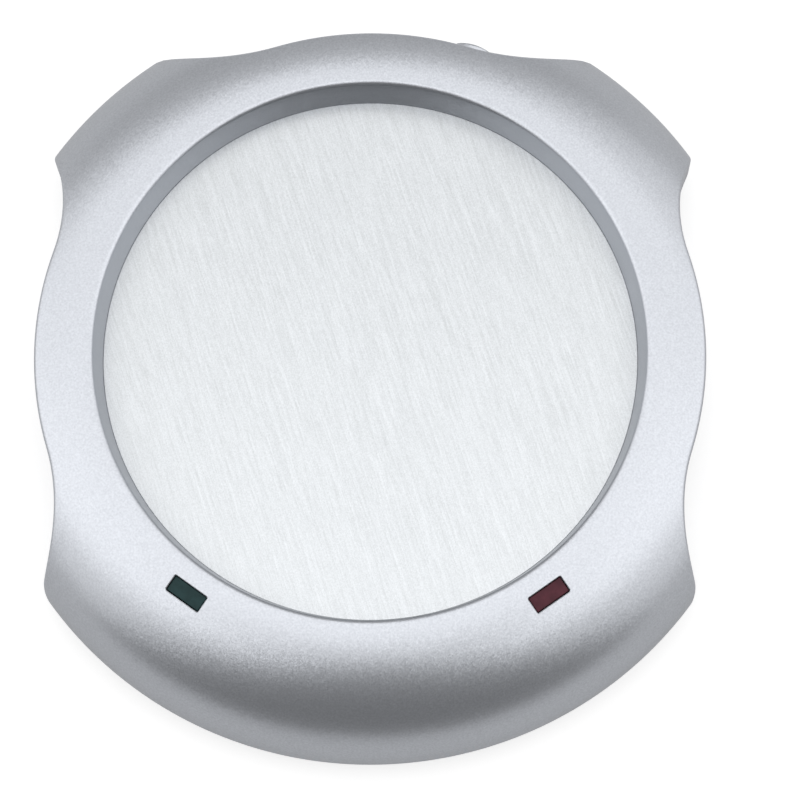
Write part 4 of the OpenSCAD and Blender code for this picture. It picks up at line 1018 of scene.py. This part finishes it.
def capacitorSleeve():
    # Navy shrink sleeve up to a bare aluminium top, 7 mm above the board
    material, add, shader, place = startMaterial("navyShrinkSleeve", "#141a33", Roughness=0.3)
    height = add("SeparateXYZ", {"Vector": place}).outputs["Z"]
    bare = add("MapRange", {"Value": height, "From Min": 14.15 * mm, "From Max": 14.2 * mm})
    feed(shader, {"Metallic": bare,
                  "Base Color": ramp(add, bare, 0.4, 0.6, ("#141a33", "#b9babb"))})
    return material


mica, maskedBoard = pressedMica(), solderMask()
# Cold-rolled sheet, electro-zinced: grey with a low, cloudy shine
zincSheet = grained("electroZincedSheet", "#999da1", "#a9adb1", 0.8, 0.004, (0.3, 0.45),
                    Metallic=1.0)
# Injection-moulded polyamide: warm white with a waxy sheen
whitePolyamide = grained("whitePolyamide", "#d5d2c8", "#e0ddd4", 0.3, 0.006, (0.4, 0.55))
inside = {
    "plate_retainer": blackPlastic, "switch_body": blackPlastic, "upper_mica": mica,
    "lower_mica": mica, "led_board": maskedBoard, "rear_board": maskedBoard,
    "clamp_plate": zincSheet, "thermostat_strap": zincSheet, "fuse_clip": zincSheet,
    "thermostat": whitePolyamide, "switch_plunger": whitePolyamide,
    # Etched foil: brownish grey, with the smooth shine of rolled metal
    "heating_element": grained("etchedNichromeFoil", "#857b6c", "#978d7d", 0.5, 0.003,
                               (0.3, 0.42), Metallic=1.0),
    # Stamped from rolled brass: yellow, clean and fairly bright
    "heater_tabs": grained("stampedBrass", "#b48f45", "#c5a156", 0.5, 0.004, (0.25, 0.38),
                           Metallic=1.0),
    "thermal_fuse": tinnedCopper,
    "fuse_sleeve": braidedSleeve(),
    # Compression-moulded silicone: brick red and matt
    "plate_gasket": grained("redSiliconeGasket", "#7c3022", "#8b392a", 0.4, 0.01, (0.5, 0.65)),
    # Cast tinted epoxy: deep colour, glassy and partly clear
    "green_led": grained("greenTintedEpoxy", "#1f7a35", "#279042", 1.5, 0.002, (0.08, 0.14),
                         IOR=1.55, Transmission_Weight=0.4),
    "red_led": grained("redTintedEpoxy", "#9c1a1a", "#b52323", 1.5, 0.002, (0.08, 0.14),
                       IOR=1.55, Transmission_Weight=0.4),
    # Dipped enamel: beige with a rounded gloss
    "led_resistors": grained("dippedEnamel", "#b39566", "#c2a576", 0.8, 0.01, (0.25, 0.35)),
    "capacitor": capacitorSleeve(),
}
for nodeName, material in inside.items():
    slots = cadNodes[nodeName].data.materials
    slots.clear()
    slots.append(material)
print("pieces on the CAD's own meshes:", len(inside))

studio = {
    "floorR": 4000.0, "floorDrop": 0.02, "floorLift": 0.62, "floorGlossShare": 0.1,
    "skyRadiance": 0.7,
    "softboxes": {
        "front": {"size": (3.0, 0.412), "at": (0.0, 0.031, 0.8), "radiance": 0.55},
        "rear": {"size": (3.0, 0.33), "at": (0.0, 0.525, 0.8), "radiance": 0.5},
    },
    "wings": {"size": (1.25, 0.4), "at": (0.875, -0.375, 0.8), "radiance": 0.62},
    "sideBoxes": {"size": (1.2, 0.9), "at": (1.6, 0.2, 0.5), "radiance": 0.35},
    "cards": {  # unlit parts of the studio, seen only in reflections: middle, half angle, reach
        "darkFront": {"middle": 180, "half": 54, "top": 23, "near": 150, "radiance": 0.16},
        "dimRear": {"middle": -7, "half": 53, "top": 40, "near": 1200, "radiance": 0.48},
    },
    "cardR": 1200.0, "cardLift": 0.3, "cardSteps": 24, "cardRows": 13,
}
white = (1, 1, 1, 1)


# 1 for camera and transmission rays, that share for glossy rays, else 0
def whiteForEye(add, glossShare=1.0):
    path = add("LightPath").outputs
    share = add("Math", {0: path["Is Glossy Ray"], 1: glossShare}, operation="MULTIPLY")
    for whole in ("Is Camera Ray", "Is Transmission Ray"):
        share = add("Math", {0: share, 1: path[whole]}, operation="MAXIMUM")
    return share


size, low = studio["floorR"] * mm, -studio["floorDrop"] * mm
floor = plainMesh("floor", [(-size, -size, low), (size, -size, low), (size, size, low),
                            (-size, size, low)], faces=[(0, 1, 2, 3)])
floorPaint, add, shader = startMaterial("mattWhiteTable", "#c6c6c6", Roughness=0.9,
                                        Emission_Color=white)[:3]
feed(shader, {"Emission Strength": add("Math", {
    0: whiteForEye(add, studio["floorGlossShare"]), 1: studio["floorLift"]},
    operation="MULTIPLY")})
oneSided = add("MixShader", {  # clear from below, to show the feet's side
    "Fac": add("NewGeometry").outputs["Backfacing"],
    1: shader, 2: add("BsdfTransparent")})
feed(shader.id_data.nodes["Material Output"], {"Surface": oneSided})
floor.data.materials.append(floorPaint)

world = bpy.data.worlds.new("studio")
bpy.context.scene.world = world
world.use_nodes = True
add = partial(addNode, world.node_tree)
feed(world.node_tree.nodes["Background"], {"Color": white, "Strength": add("MapRange", {
    "Value": whiteForEye(add), "To Min": studio["skyRadiance"], "To Max": 1.0})})


# Card of light over the scene, mirrored for side -1, that looks straight down or at the origin
def areaLight(name, box, side=1, down=True):
    (wide, tall), (x, y, z) = box["size"], box["at"]
    light = bpy.data.lights.new(name, "AREA")
    light.shape, light.size, light.size_y = "RECTANGLE", wide, tall
    light.energy = box["radiance"] * pi * wide * tall
    lamp = addObject(name, light)
    lamp.location = at = Vector((side * x, y, z))
    target = Vector((side * x, y, 0)) if down else Vector((0, 0, 0))
    lamp.rotation_euler = (at - target).to_track_quat("Z", "Y").to_euler()
    lamp.visible_camera = False


for name, box in studio["softboxes"].items():
    areaLight(name + "Softbox", box)
for side, sideName in ((-1, "left"), (1, "right")):
    areaLight(sideName + "Wing", studio["wings"], side)
    areaLight(sideName + "Box", studio["sideBoxes"], side, down=False)


# Curved card that lies on the floor and stands up behind it, highest in its middle. Only
# glossy rays see it
def studioCard(name, middle, half, top, near, radiance):
    n, rows, r, lift = (studio[key] for key in ("cardSteps", "cardRows", "cardR", "cardLift"))
    offs = sweep(-half, half, n)
    points = [(*polar(near, middle + off), lift) for off in offs]
    for k in range(rows):
        for off in offs:
            high = top + (90 - top) * (off / half) ** 2
            zenith = radians(90 - (90 - high) * k / (rows - 1))
            points.append((*polar(r * sin(zenith), middle + off), lift + r * cos(zenith)))
    faces = [(k + i, k + i + 1, k + n + i + 2, k + n + i + 1)
             for k in range(0, rows * (n + 1), n + 1) for i in range(n)]
    card = plainMesh(name, [(x * mm, y * mm, z * mm) for x, y, z in points], faces=faces)
    material = startMaterial(name + "Card", "#000000", Roughness=1.0, Specular_IOR_Level=0.0,
                             Emission_Color=white, Emission_Strength=radiance)[0]
    card.data.materials.append(material)
    material.cycles.emission_sampling = "NONE"
    card.visible_camera = card.visible_diffuse = card.visible_shadow = False


for name, card in studio["cards"].items():
    studioCard(name, **card)

camera = {
    "distance": 600.0, "elevation": 76.02, "azimuth": 2.75, "roll": -2.51, "right": -5.12,
    "up": 8.89, "focal": 160.83, "sensor": 36.0, "clip": (0.01, 20.0),
}
e, a, roll = (radians(camera[key]) for key in ("elevation", "azimuth", "roll"))
back = Vector((sin(a) * cos(e), -cos(a) * cos(e), sin(e)))
right = Vector((cos(a), sin(a), 0))
up = back.cross(right)
right, up = (right * cos(roll) + up * sin(roll), up * cos(roll) - right * sin(roll))
lens = bpy.data.cameras.new("camera")
lens.lens, lens.sensor_width = camera["focal"], camera["sensor"]
lens.clip_start, lens.clip_end = camera["clip"]
eye = addObject("camera", lens)
eye.matrix_world = Matrix((right, up, back)).transposed().to_4x4()
eye.location = (Vector((0, ring["axisY"], ring["rimZ"])) + back * camera["distance"]
                - right * camera["right"] - up * camera["up"]) * mm
bpy.context.scene.camera = eye
bpy.context.scene.view_settings.view_transform = "Standard"
print("studio")
